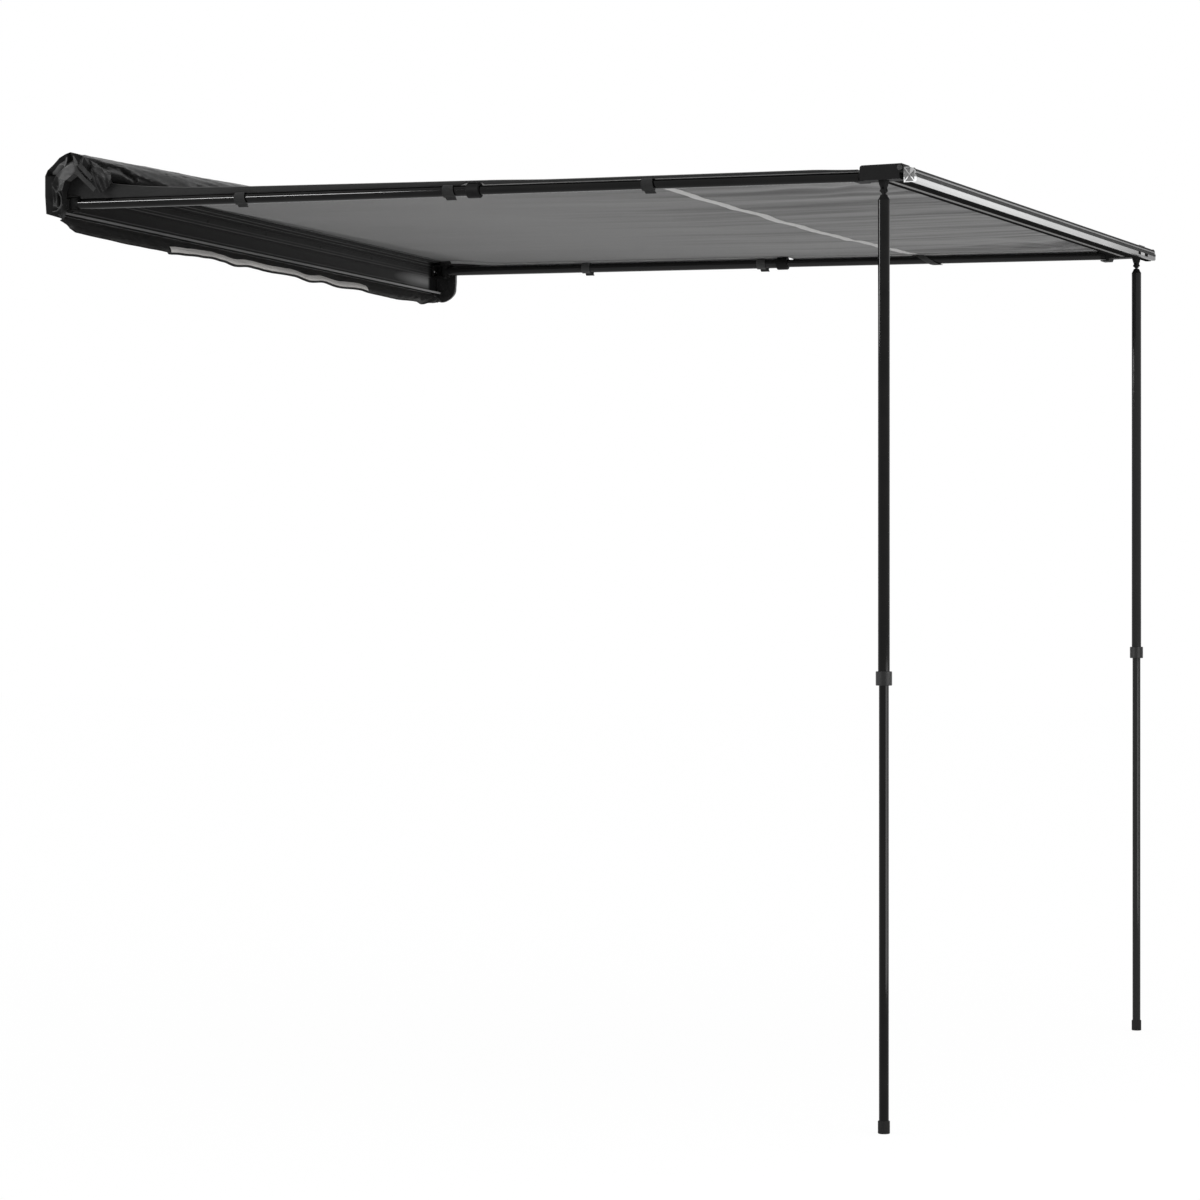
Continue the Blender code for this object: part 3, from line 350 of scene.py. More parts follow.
def silver_extrusion(name):
    """Clear anodised aluminium with painted reflections: bright below, dark bands above, darker towards the
    far end.
    """
    look = Look(name, 0.3, 0.9, 0.5)
    lines = look.noise(1.0, (1.5, 900, 900), 3)
    clouds = look.noise(7.0, (1, 3, 3), 4)
    height = look.span(look.height(RAIL_SLOPE), RAIL_Z - 0.010, RAIL_Z + 0.030)
    grain = look.maths("MULTIPLY_ADD", look.times(lines, clouds), 0.08, height)
    # Painted reflection: the rounded upper part is tinted in dark bands over the bright face below
    look.tint(grain, (0.0, 0.66), (0.34, 0.74, -0.004), (0.36, 0.12), (0.48, 0.12), (0.52, 0.20),
              (0.62, 0.20), (0.72, 0.10), (0.80, 0.16))
    # Painted reflection: darker towards the far end
    look.lighten(look.span(look.across(), -0.41, 0.46, 0.0, 0.36), 0.05)
    look.lighten(look.span(look.across(), 0.50, 0.92, 0.0, 0.82), 0.05)
    near_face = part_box("lead_rail")[0][0]
    cut = look.span(look.across(), near_face + 0.0006, near_face + 0.0002)
    look.lighten(cut, 0.26)
    look.roughen(clouds, 0.26, 0.40)
    look.bump(lines, 0.00008, 0.6)
    return look.material


def moulded(name, dark, light, roughness, specular=0.3, grain=900):
    """Moulded plastic with a fine spark-eroded grain and scuffs."""
    look = Look(name, roughness, 0.0, specular)
    skin = look.cells(grain)
    scuffs = look.noise(60.0, (1, 1, 1), 5, 0.7)
    look.tint(scuffs, (0.35, dark), (0.8, light))
    look.roughen(scuffs, roughness - 0.06, roughness + 0.1)
    look.bump(skin, 0.00012, 0.5)
    return look.material


def rubber(name):
    """Black rubber foot with moulded rings and dusty grooves."""
    look = Look(name, 0.8, 0.0, 0.2)
    rings = look.wave(110, "Z")
    dust = look.noise(80.0, (1, 1, 1), 5, 0.7)
    look.tint(dust, (0.3, 0.008), (0.8, 0.020, 0.05))
    look.roughen(dust, 0.7, 0.9)
    look.bump(dust, 0.0002, 0.5)
    look.bump(rings, 0.0005, 0.8)
    return look.material


def plated(name):
    """Zinc plated steel: small bright fastenings with turning marks."""
    look = Look(name, 0.35, 0.9, 0.5)
    marks = look.noise(1500, (1, 1, 0.2), 3)
    look.tint(marks, (0.3, 0.36), (0.7, 0.52, 0.02))
    look.roughen(marks, 0.28, 0.5)
    look.bump(marks, 0.00005, 0.5)
    return look.material


def canvas(name):
    """Grey coated polycotton: plain weave and slubs, with painted fold shade in streaks that strengthen
    towards the rail, and painted shade towards the vehicle and in the near corner.
    """
    look = Look(name, 0.85, 0.0, 0.25, 0.15)
    weave = look.weave(620, "Y", 0.6)
    slubs = look.noise(1.0, (90, 3, 90), 4, 0.6)
    streaks = look.noise(1.0, (4.5, 0.55, 1), 2, 0.5, 0.4)
    fine = look.noise(1.0, (16, 1.1, 1), 3, 0.6)
    # Painted shade: streaks standing in for the shading of the canopy's folds, strongest towards the rail
    pull = look.span(look.outward(), 0.9, 1.8)
    painted_fold_shade = look.times(look.maths("SUBTRACT", look.maths("ADD", streaks, fine), 1.02), pull)
    tone = look.maths("ADD", look.times(slubs, 0.16), look.times(painted_fold_shade, 1.9))
    # Painted shade: darker towards the vehicle
    tone = look.maths("ADD", tone, look.span(look.outward(), 0.05, 0.80, 0.26, 0.42))
    # Painted shadow in the folded near corner
    painted_shading = look.span(look.patch((-0.985, -0.09, 0.035), (0.085, 0.26, 0.05)), 0.0, 0.6)
    tone = look.maths("SUBTRACT", tone, look.times(painted_shading, 0.45))
    look.tint(tone, (0.0, 0.030), (0.26, 0.082, 0.006), (0.50, 0.171, 0.004),
              (0.95, 0.258, 0.004))
    look.roughen(streaks, 0.78, 0.92)
    look.bump(weave, 0.00018, 0.55)
    look.bump(slubs, 0.0004, 0.35)
    return look.material


def webbing(name, dark, light, warm=0.0, ribs="Y", painted_shading=False):
    """Woven tape: herringbone ribs, lint and worn edges of the yarn; optionally painted light at the far
    end and painted shade in the near corner.
    """
    look = Look(name, 0.82, 0.0, 0.2, 0.2)
    rib = look.wave(420, ribs, distortion=1.2)
    cross = look.wave(300, "DIAGONAL", distortion=0.8)
    lint = look.noise(240, (1, 1, 1), 4, 0.7)
    weave = look.times(rib, cross)
    look.tint(look.times(lint, weave), (0.02, dark, warm), (0.42, light, warm))
    look.roughen(lint, 0.74, 0.92)
    look.bump(weave, 0.0003, 0.8)
    look.bump(lint, 0.0003, 0.35)
    # Painted light: lighter at the far end; painted shade: darker in the near corner
    if painted_shading:
        look.lighten(look.span(look.across(), 0.93, 0.97), 0.055)
        corner = look.patch((-0.985, -0.10, 0.03), (0.08, 0.26, 0.06))
        look.lighten(look.span(corner, 0.0, 0.5), 0.004)
    return look.material


def coated_cloth(name, dark=0.006, light=0.014, roughness=0.42, warm=0.0, specular=0.3, crumple=0.3):
    """PVC coated bag cloth: fine square weave under a soft shine, with rubbed creases."""
    look = Look(name, roughness, 0.0, specular, 0.06)
    weave = look.weave(380, "Z", 0.4)
    rub = look.noise(22.0, (0.5, 1, 1), 6, 0.65, 0.6)
    crease = look.noise(5.0, (1, 2.2, 2.2), 5, 0.6, 1.2)
    look.tint(rub, (0.35, dark, warm), (0.78, light, warm))
    look.roughen(rub, roughness - 0.1, roughness + 0.12)
    look.bump(weave, 0.00025, 0.3)
    look.bump(crease, 0.006, crumple)
    return look


def near_end_finish(name):
    """Bag cloth with painted highlights on the folded faces at the near end."""
    look = coated_cloth(name, 0.006, 0.013, 0.42, 0.0, 0.12, 0.08)
    fold_highlight_breakup = look.noise(30.0, (0.5, 1, 1), 4, 0.6)
    # Painted highlight on each listed fold face
    for outline, level in FOLD_HIGHLIGHTS:
        face = look.times(look.facet(outline, 0.0012), look.span(fold_highlight_breakup, 0.25, 0.6, 0.65))
        look.lighten(face, level)
    return look.material


def roll_finish(name):
    """Bag cloth with a painted highlight along the crest of the roll and painted sheen along the tops of
    its folds.
    """
    look = coated_cloth(name, 0.010, 0.022)
    long_folds = look.noise(1.0, (7, 120, 120), 4, 0.6)
    # Painted highlight along the roll's crest, and painted sheen on its long folds
    crest = look.stripe(look.height(BAG_RISE), BAG_CREST, 0.003, 0.007)
    look.lighten(look.times(crest, look.span(long_folds, 0.35, 0.6)), 0.11)
    look.lighten(look.span(long_folds, 0.56, 0.72, 0.0, 0.6), 0.07)
    return look.material


EXTRUSION = black_extrusion("black_anodised_drawn", 0.04, 0.010, 0.018).material
BACKPLATE = backplate_finish("black_anodised_ribbed")
INNER_EXTRUSION = rail_inner_finish("black_anodised_matt")
SILVER = silver_extrusion("clear_anodised_drawn")
ARM_GLOSS = gloss_tube("gloss_black_arm", "y")
LEG_GLOSS = gloss_tube("gloss_black_leg", "z")
PLASTIC = moulded("black_moulded", 0.010, 0.017, 0.55, 0.06)
GREY_PLASTIC = moulded("grey_moulded", 0.006, 0.012, 0.38, 0.3)
PLUG = moulded("rail_plug_grey", 0.16, 0.34, 0.5, 0.3, 260)
# Dark strips on the silver rail: painted shade and a painted reflection
RAIL_DARK_BAND_LOOK = moulded("rail_dark_band_painted", 0.065, 0.100, 0.7, 0.0)
CLIP = moulded("rail_clip_pale", 0.45, 0.70, 0.5, 0.3, 260)
GASKET = moulded("rail_gasket_rubber", 0.012, 0.022, 0.7, 0.0)
RUBBER = rubber("black_rubber_ringed")
STEEL = plated("zinc_plated")
BLACK_STEEL = moulded("black_oxide_steel", 0.006, 0.014, 0.3, 0.4, 2400)
CANVAS = canvas("grey_canvas_woven")
WEBBING = webbing("black_webbing_ribbed", 0.009, 0.026, painted_shading=True)
TIE_WEB = webbing("tie_webbing_ribbed", 0.018, 0.050)
FRAY = webbing("frayed_black_edge", 0.002, 0.012)
EDGE_CLOTH = webbing("canopy_turned_edge", 0.42, 0.62, 0.0, "X")
PALE_WEB = webbing("pale_webbing_ribbed", 0.55, 0.75, 0.01, "X")
BAG_CLOTH = roll_finish("bag_cloth_coated")
END_CLOTH = near_end_finish("bag_end_coated")
FLAP_CLOTH = coated_cloth("bag_flap_coated", 0.006, 0.014, 0.6, 0.06).material
PIPING = coated_cloth("bag_piping", 0.004, 0.010, 0.6, 0.0, 0.1).material
RING = coated_cloth("bag_end_piping", 0.030, 0.060, 0.5, 0.0, 0.2).material
LINING = webbing("pale_lining_woven", 0.80, 0.92, 0.03, "X")

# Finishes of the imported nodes, by how a node's name ends; every other one is moulded plastic
CARRIED = {
    "backplate": BACKPLATE, "rail_inner_section": INNER_EXTRUSION, "arm_bracket": EXTRUSION,
    "lead_rail": SILVER, "arm_outer_tube": ARM_GLOSS, "arm_inner_tube": ARM_GLOSS,
    "leg_upper_tube": LEG_GLOSS, "leg_lower_tube": LEG_GLOSS, "leg_lock_collar": GREY_PLASTIC,
    "leg_foot": RUBBER, "arm_pin": BLACK_STEEL, "leg_pin": BLACK_STEEL, "block_screw": BLACK_STEEL,
    "bracket_bolt_a": STEEL, "bracket_bolt_b": STEEL,
}


# Carried-over CAD nodes
def smoothing(angle):
    """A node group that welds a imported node's split points and shades it smooth up to an angle."""
    tree = bpy.data.node_groups.new("smooth_by_angle", "GeometryNodeTree")
    tree.is_modifier = True
    tree.interface.new_socket("Geometry", in_out="INPUT", socket_type="NodeSocketGeometry")
    tree.interface.new_socket("Geometry", in_out="OUTPUT", socket_type="NodeSocketGeometry")
    start = tree.nodes.new("NodeGroupInput")
    drop = tree.nodes.new("GeometryNodeRemoveAttribute")
    set_inputs(drop, {"Name": "custom_normal"})
    merge = tree.nodes.new("GeometryNodeMergeByDistance")
    set_inputs(merge, {"Distance": 0.00001})
    faces = tree.nodes.new("GeometryNodeSetShadeSmooth")
    faces.domain = "FACE"
    edges = tree.nodes.new("GeometryNodeSetShadeSmooth")
    edges.domain = "EDGE"
    set_inputs(edges, {"Shade Smooth": False})
    bend = tree.nodes.new("GeometryNodeInputMeshEdgeAngle")
    limit = tree.nodes.new("FunctionNodeCompare")
    limit.data_type = "FLOAT"
    limit.operation = "GREATER_THAN"
    set_inputs(limit, {"B": math.radians(angle)})
    end = tree.nodes.new("NodeGroupOutput")
    chain = [start, drop, merge, faces, edges, end]
    for first, second in zip(chain, chain[1:]):
        tree.links.new(first.outputs["Geometry"], second.inputs["Geometry"])
    tree.links.new(bend.outputs["Unsigned Angle"], limit.inputs["A"])
    tree.links.new(limit.outputs["Result"], edges.inputs["Selection"])
    return tree


def finish_for(node):
    for ending, look in CARRIED.items():
        if node.endswith(ending):
            return look
    return PLASTIC


SHARP_ANGLE = 50
SMOOTH = smoothing(35)
for name, node in NODES.items():
    for slot in node.material_slots:
        slot.material = finish_for(name)
    node.modifiers.new("smooth", "NODES").node_group = SMOOTH


# Helpers for new pieces
CORD_STEPS = 8


def ease(value):
    value = min(max(value, 0.0), 1.0)
    return value * value * (3 - 2 * value)


def spread(start, stop, count):
    return [start + (stop - start) * i / (count - 1) for i in range(count)]


def ripple(*place):
    """Smooth noise, about -1 to 1."""
    return noise.noise(Vector(place))


def ridge(*place):
    """Noise with sharp crests and broad valleys, about -1 to 1, as slack cloth folds."""
    return 1 - 3.2 * abs(noise.noise(Vector(place)))


def placed(name, data):
    """An object linked into the scene."""
    made = bpy.data.objects.new(name, data)
    bpy.context.scene.collection.objects.link(made)
    return made


def piece(name, points, faces, look, body="mounting"):
    mesh = bpy.data.meshes.new(name)
    mesh.from_pydata([tuple(p) for p in points], [], faces)
    mesh.validate()
    mesh.shade_smooth()
    mesh.set_sharp_from_angle(angle=math.radians(SHARP_ANGLE))
    mesh.materials.append(look)
    made = placed(name, mesh)
    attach(made, body)
    return made


def loft_faces(rings, count):
    """Quads between closed rings of points, and a face over each of the two end rings."""
    faces = []
    for i in range(rings - 1):
        for j in range(count):
            k = (j + 1) % count
            faces.append((i * count + j, (i + 1) * count + j, (i + 1) * count + k, i * count + k))
    faces.append(tuple(range(count)))
    faces.append(tuple((rings - 1) * count + j for j in reversed(range(count))))
    return faces


def loft(name, rings, look, body="mounting"):
    points = [point for ring in rings for point in ring]
    return piece(name, points, loft_faces(len(rings), len(rings[0])), look, body)


def shell(name, grid, thick, look, body="mounting"):
    """A closed sheet: one side on the grid's points, the other as far from them as it is thick."""
    grid = np.array(grid, dtype=float)
    rows, cols = grid.shape[:2]
    along = np.gradient(grid, axis=0)
    across = np.gradient(grid, axis=1)
    up = np.cross(across, along)
    up /= np.maximum(np.linalg.norm(up, axis=2, keepdims=True), 1e-12)
    points = np.concatenate([grid.reshape(-1, 3), (grid + up * thick).reshape(-1, 3)])
    other = rows * cols
    faces = []
    for i in range(rows - 1):
        for j in range(cols - 1):
            a, b = i * cols + j, (i + 1) * cols + j
            faces.append((a, b, b + 1, a + 1))
            faces.append((other + a + 1, other + b + 1, other + b, other + a))
    rim = [*range(cols)] + [i * cols + cols - 1 for i in range(1, rows)]
    rim += [(rows - 1) * cols + j for j in reversed(range(cols - 1))]
    rim += [i * cols for i in reversed(range(1, rows - 1))]
    for a, b in zip(rim, rim[1:] + rim[:1]):
        faces.append((a, b, other + b, other + a)[::-1])
    return piece(name, points, faces, look, body)


def cord_rings(path, radius):
    """Round rings along a path of points."""
    turns = [2 * math.pi * k / CORD_STEPS for k in range(CORD_STEPS)]
    rings = []
    for i, point in enumerate(path):
        ahead = (path[min(i + 1, len(path) - 1)] - path[max(i - 1, 0)]).normalized()
        aside = ahead.cross(Vector((0.3, 0.2, 1.0))).normalized()
        other = aside.cross(ahead)
        rings.append([point + radius * (math.cos(a) * aside + math.sin(a) * other) for a in turns])
    return rings


# Canopy
def rail_height(x):
    """Height of the lead rail's middle, which rises towards the far end."""
    return RAIL_Z + x * RAIL_SLOPE


def arm_axis(end, y):
    """Height of an arm's axis at a distance from the vehicle."""
    return ARM_UP[end] - (-ARM_PIVOT_OUT - y) * ARM_SLOPE


def hem_height(end, y):
    return HEM_HEIGHT[end] + (HEM_END - HEM_HEIGHT[end]) * ease((-y / REACH - 0.25) / 0.45)


def tube_radius(y):
    """Radius of an arm, which narrows past the end of its outer tube."""
    narrowed = ease((-y - ARM_PIVOT_OUT - ARM_OUTER_END - 0.04) / 0.15)
    return ARM_TUBE_R + (ARM_INNER_R - ARM_TUBE_R) * narrowed


def edge_height(end, y):
    return arm_axis(end, y) + tube_radius(y) + HEM_LIFT + hem_height(end, y) + 2 * GAP + CANOPY_THICK


def taut_height(x, y):
    """Top of the CAD canopy, without the creases."""
    across = (x + ARM_X) / (2 * ARM_X)
    along = (CANOPY_IN - y) / (CANOPY_IN - CANOPY_OUT)
    plane = edge_height("near", y) + (edge_height("far", y) - edge_height("near", y)) * across
    middle = max(1 - (x / ARM_X) ** 2, 0.0)
    folds = math.sin(2 * math.pi * x / FOLD_PITCH + 0.6) * ease((along - 0.55) / 0.3)
    folds *= ease((1 - along) / 0.06)
    plane += (rail_height(x) + CLOTH_SEAT - plane) * ease((SEAT_BLEND - REACH - y) / SEAT_BLEND)
    sag = CANOPY_SAG * middle * math.sin(math.pi * min(max(along, 0), 1)) ** 0.7
    plane += FOLD_HEIGHT * folds * middle - sag
    start = BACK_TOP - 0.0055 + CANOPY_THICK / 2
    drawn = ease((CANOPY_IN - y) / CANOPY_BLEND)
    slung = 1 - math.exp(-max(CANOPY_IN - y, 0) / SLUNG_LENGTH)
    drawn += (slung - drawn) * ease((-x - 0.75) / 0.22) * ease((CANOPY_IN - y) / 0.05)
    return start + (plane - start) * drawn


# Where the folds of a rail corner fan out from
CORNER_X, CORNER_OUT = 0.96, 1.99


def creases(x, y):
    """How far the cloth leaves its taut shape: pleats at the track, pull lines and corner folds."""
    along = (CANOPY_IN - y) / (CANOPY_IN - CANOPY_OUT)
    free = ease((CANOPY_X - abs(x)) / 0.05) * ease(along / 0.03) * ease((1 - along) / 0.03)
    pleats = 0.0010 * ripple(x * 55, y * 4, 3.1) * ease((0.16 - along) / 0.14)
    pull = 0.0016 * ripple(x * 17, y * 1.1, 8.0) * ease((along - 0.25) / 0.5)
    pull += 0.0008 * ripple(x * 41, y * 1.7, 2.0) * ease((along - 0.45) / 0.4)
    drift = 0.0022 * ripple(x * 3.1, y * 2.3, 5.5)
    corners = 0.0
    for sign in SIDE.values():
        dx, dy = sign * x - CORNER_X, y + CORNER_OUT
        far = math.hypot(dx, dy)
        turn = math.atan2(-dx, dy)
        fan = math.sin(17 * turn + 3 * far + sign)
        corners += 0.0030 * fan * ease((0.62 - far) / 0.5) * ease(far / 0.10)
    return free * (pleats + pull + drift + corners)


def cloth_height(x, y):
    """Top of the modelled canopy."""
    return taut_height(x, y) - GAP + creases(x, y)


# Inner face of a corner block, and how soon the cloth's edge steps back from it
BLOCK_IN = 0.9735
BLOCK_STEP = 0.003


def canopy_grid(columns, rows):
    grid = []
    for x in columns:
        beside_block = ease((abs(x) - BLOCK_IN) / BLOCK_STEP)
        stop = CANOPY_OUT + (BLOCK_EDGE - CANOPY_OUT) * beside_block
        line = [CANOPY_IN + (stop - CANOPY_IN) * v for v in spread(0, 1, rows)]
        grid.append([(x, y, cloth_height(x, y)) for y in line])
    return grid


CLOTH_THICK = 0.0012
beside_blocks = [sign * (BLOCK_IN + step) for sign in (-1, 1) for step in (0, BLOCK_STEP)]
columns = sorted(spread(-CANOPY_X, CANOPY_X, 221) + beside_blocks)
canopy = shell("canopy_cloth", canopy_grid(columns, 200), -CLOTH_THICK, CANVAS)
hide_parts("canopy")

# How far below the canopy's top lie the strip and the straps, and the frayed edge
UNDER_CLOTH = 0.0018
UNDER_FRAY = 0.0022

COLLAR_AT = ARM_PIVOT_OUT + ARM_OUTER_END
COLLAR_REACH = 0.026
COLLAR_BESIDE = 0.0160
HEM_OVER = 0.0110
BRACKET_TOP = 0.0187
BRACKET_OUT = 0.070

# Outline of a side hem's section: (out, up) as shares of its thickness and height
HEM_SECTION = [
    (0.0, 1.0), (0.6, 0.94), (1.0, 0.72), (1.15, 0.5), (0.75, 0.3), (0.7, 0.1), (0.0, 0.0), (-0.7, 0.1),
    (-0.9, 0.5), (-0.8, 0.85),
]


def hem_floor(end, y):
    """Lower edge of a side hem: just over the arm, its lock collar and its bracket."""
    over = HEM_OVER
    over += (COLLAR_BESIDE - over) * ease((COLLAR_REACH - abs(-y - COLLAR_AT)) / 0.005)
    over += (BRACKET_TOP - over) * ease((BRACKET_OUT + 0.012 + y) / 0.012)
    return arm_axis(end, y) + over


def hem_band(end):
    """The black side hem: a soft folded band, fuller along its middle."""
    sign = SIDE[end]
    middle = sign * (ARM_X + HEM_OUT + HEM_THICK / 2)
    rings = []
    for y in spread(CANOPY_IN - 0.003, BLOCK_EDGE + 0.0005, 300):
        top = cloth_height(sign * CANOPY_X, y) - CANOPY_THICK
        low = min(hem_floor(end, y) + 0.0002 * (1 + ripple(y * 23, 9.0, sign)), top - 0.002)
        sway = 0.0009 * ripple(y * 9, 4.0 * sign, 0.5) + 0.0005 * ripple(y * 31, 2.0 * sign, 7.5)
        full = HEM_THICK * (0.62 + 0.35 * ripple(y * 14, 1.0, 3.0 * sign))
        rings.append([(middle + sign * (u * full + sway * math.sin(math.pi * v)), y, low + (top - low) * v)
                      for u, v in HEM_SECTION])
    made = loft(f"{end}_canopy_hem_band", rings, WEBBING)
    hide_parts(f"{end}_canopy_hem")
    return made


hems = {end: hem_band(end) for end in SIDE}

WEB_HALF = 0.958
web_x = [x for x in columns if abs(x) < WEB_HALF]
web_y = spread(-WEB_AT + WEB_WIDTH / 2, -WEB_AT - WEB_WIDTH / 2, 6)
web_grid = [[(x, y, cloth_height(x, y) - UNDER_CLOTH) for y in web_y] for x in web_x]
web = shell("canopy_web_band", web_grid, -0.0008, PALE_WEB)
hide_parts("canopy_web_strip")

# How far a strap slants along its arm, and the part of its turn in which it comes back on the inner side
STRAP_SLANT = {("far", 3): 0.062}
STRAP_UNDER, STRAP_OVER = 0.43, 0.93
STRAP_GAP = 0.0011
STRAP_LIFT = 0.0016
STRAP_THICK = 0.0012


def strap_skew(turned, slant):
    """How far a slanted strap has strayed along the arm, turned from 0 to 1 round it."""
    if turned < STRAP_UNDER:
        return slant / 2 * turned / STRAP_UNDER
    inner = min((turned - STRAP_UNDER) / (STRAP_OVER - STRAP_UNDER), 1)
    return slant * (0.5 - inner)


def strap_band(end, number, out):
    """A hook-and-loop strap: down from the cloth, round the arm, over itself, with a loose tail."""
    slant = STRAP_SLANT.get((end, number), 0.0)
    sign = SIDE[end]
    radius = ARM_TUBE_R + STRAP_GAP
    y = -out
    top = min(cloth_height(sign * ARM_X, v) for v in (y - STRAP_WIDTH, y, y + STRAP_WIDTH))
    top -= UNDER_CLOTH + arm_axis(end, y)
    path = [(sign * 0.0045, top, 0.0)]
    start, turns = math.radians(62), math.radians(356)
    for i in range(29):
        a = start - turns * i / 28
        path.append((sign * radius * math.cos(a), radius * math.sin(a), -strap_skew(i / 28, slant)))
    skew = path[-1][2]
    lap = math.radians(66 if slant else 132)
    outer = radius + STRAP_LIFT
    for i in range(9):
        a = start - turns - lap * (i + 1) / 9
        path.append((sign * outer * math.cos(a), outer * math.sin(a), skew - 0.0006 * (i + 1)))
    if not slant:
        u, v, skew = path[-1]
        path.append((u - sign * 0.0012, v - 0.0035, skew - 0.0012))
        path.append((u - sign * 0.0016, v - 0.0070, skew - 0.0032))
    grid = []
    for u, v, skew in path:
        grid.append([(sign * ARM_X + u, y + skew - STRAP_WIDTH * w, arm_axis(end, y - STRAP_WIDTH * w) + v)
                     for w in spread(-0.5, 0.5, 5)])
    made = shell(f"{end}_arm_strap_band_{number}", grid, sign * STRAP_THICK, WEBBING)
    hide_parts(f"{end}_arm_strap_{number}")
    return made


for end in SIDE:
    for number, out in enumerate(STRAP_AT, 1):
        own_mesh(strap_band(end, number, out))


# Bag
BAG_HALF = BACK_HALF + 0.0033
BAG_OUT = 0.110
BAG_TOP = 0.112
BAG_END_TOP = 0.0865
ROLL_STEPS = 64


def roll_top(x):
    return min(BAG_TOP, BAG_END_TOP + BAG_RISE * (x + BAG_HALF))


def roll_floor(x, y):
    """What the bag lies on: the backplate's top, then the canopy that it droops over."""
    if y > -LIP_REACH:
        return BACK_TOP + 2 * GAP
    return max(cloth_height(x, y) + 0.0030, BACK_TOP - 0.021)


# A deep crease in the roll's outer side at its near end: along the vehicle, height
ROLL_CREASE = [
    (-1.003, 0.0717), (-0.9685, 0.0669), (-0.942, 0.0621), (-0.898, 0.0666), (-0.867, 0.0659),
    (-0.849, 0.0611), (-0.80, 0.052),
]


def line_distance(point, line):
    """Distance in a plane from a point to a line of points."""
    best = 1.0
    for start, stop in zip(line, line[1:]):
        start, stop = Vector(start), Vector(stop)
        step = stop - start
        share = min(max((point - start).dot(step) / step.length_squared, 0), 1)
        best = min(best, (point - start - step * share).length)
    return best


def roll_cap(x, y, high):
    """Top of the roll: near its near end it follows that end's folded corner."""
    corner = 0.043 + 0.72 * -y
    return high + (min(corner, high) - high) * ease((-x - 0.93) / 0.06)


def roll_ring(x):
    """One section of the bunched bag: long slack folds that wind slowly down its outer side."""
    low, high = BACK_TOP - 0.012, roll_top(x)
    middle_y, half_y = -BAG_OUT / 2, BAG_OUT / 2 - 0.0025
    middle_z, half_z = (low + high) / 2, (high - low) / 2
    ring = []
    for i in range(ROLL_STEPS):
        a = 2 * math.pi * i / ROLL_STEPS
        ca, sa = math.cos(a), math.sin(a)
        girth = a * 0.045 - 0.10 * x
        folds = 0.0016 * ridge(x * 3.0, girth * 45, 2.0) + 0.0016 * ridge(x * 7.0, girth * 100, 6.0)
        folds += 0.0006 * ripple(x * 60, girth * 190, 1.0) + 0.0030 * ripple(x * 5, ca * 1.2, sa * 1.2)
        if x < -0.78 and ca < 0:
            away = line_distance(Vector((x, middle_z + half_z * sa)), ROLL_CREASE)
            swell = 0.0025 * math.exp(-((away - 0.008) / 0.005) ** 2)
            folds -= 0.007 * math.exp(-(away / 0.0028) ** 2) - swell
        y = middle_y + (half_y + folds) * math.copysign(abs(ca) ** 0.75, ca)
        z = middle_z + (half_z + folds * (0.3 if sa > 0 else 1.0)) * math.copysign(abs(sa) ** 0.8, sa)
        y = min(max(y, -BAG_OUT - 0.002), -0.001)
        z = min(z, roll_cap(x, y, high) + 0.0008)
        ring.append((x, y, max(z, roll_floor(x, y))))
    return ring


roll = loft("bag_roll", [roll_ring(x) for x in spread(-BAG_HALF, BAG_HALF, 400)], BAG_CLOTH)
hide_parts("bag_upper")

# The lower flap's free edge: along the vehicle, height
FLAP_EDGE = [
    (-1.004, -0.0640), (-0.969, -0.0774), (-0.939, -0.0853), (-0.880, -0.0868), (-0.700, -0.0885),
    (-0.524, -0.0876), (-0.517, -0.0915), (-0.466, -0.0882), (-0.368, -0.0839), (-0.300, -0.0812),
    (-0.250, -0.0835), (-0.186, -0.0885), (-0.114, -0.0832), (0.000, -0.0856), (0.128, -0.0836),
    (0.211, -0.0905), (0.285, -0.0846), (0.370, -0.0900), (0.499, -0.0841), (0.547, -0.0870),
    (0.720, -0.0880), (0.856, -0.0828), (0.890, -0.0866), (0.940, -0.0785), (1.000, -0.0720),
]
LINING_FROM, LINING_TO = -0.512, 0.545
FLAP_TOP = -BACK_TOP - 2 * GAP
FLAP_IN, FLAP_OUT = -0.0065, -0.0285


def flap_edge(x):
    for (x0, z0), (x1, z1) in zip(FLAP_EDGE, FLAP_EDGE[1:]):
        if x <= x1:
            return z0 + (z1 - z0) * ease((x - x0) / (x1 - x0))
    return FLAP_EDGE[-1][1]


def flap_line(x, v):
    """A point of the flap's outer face, v running down it from 0 to 1."""
    bottom = flap_edge(x)
    out = FLAP_OUT + 0.0020 * math.sin(5.5 * x + 2) + 0.0025 * ripple(x * 9, 2.0, 4.0)
    y = FLAP_IN + (out - FLAP_IN) * ease(v * 1.1) + 0.0026 * ripple(x * 14, v * 1.5, 2.0) * v
    crumple = ease((-x - 0.93) / 0.05) + ease((x - 0.60) / 0.3)
    y += (0.0035 * ridge(x * 26 + v * 3, v * 3.0, 6.0) * v * crumple
          + 0.0012 * ripple(x * 40, v * 3.0, 9.0) * v)
    return (x, min(y, -0.0050), FLAP_TOP + (bottom - FLAP_TOP) * v)


edge_x = [x + step for x, z in FLAP_EDGE[1:-1] for step in (0, 0.001)]
flap_x = sorted(spread(-BACK_HALF - 0.003, BACK_HALF, 420) + edge_x)
flap_grid = [[flap_line(x, v) for v in spread(0, 1, 18)] for x in flap_x]
flap = shell("bag_flap", flap_grid, 0.0012, FLAP_CLOTH)
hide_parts("bag_lower_flap")

edge_path = [Vector(flap_line(x, 1.0)) + Vector((0, 0.0004, -0.0010)) for x in flap_x[::2]]
loft("bag_flap_piping", cord_rings(edge_path, 0.0018), PIPING)

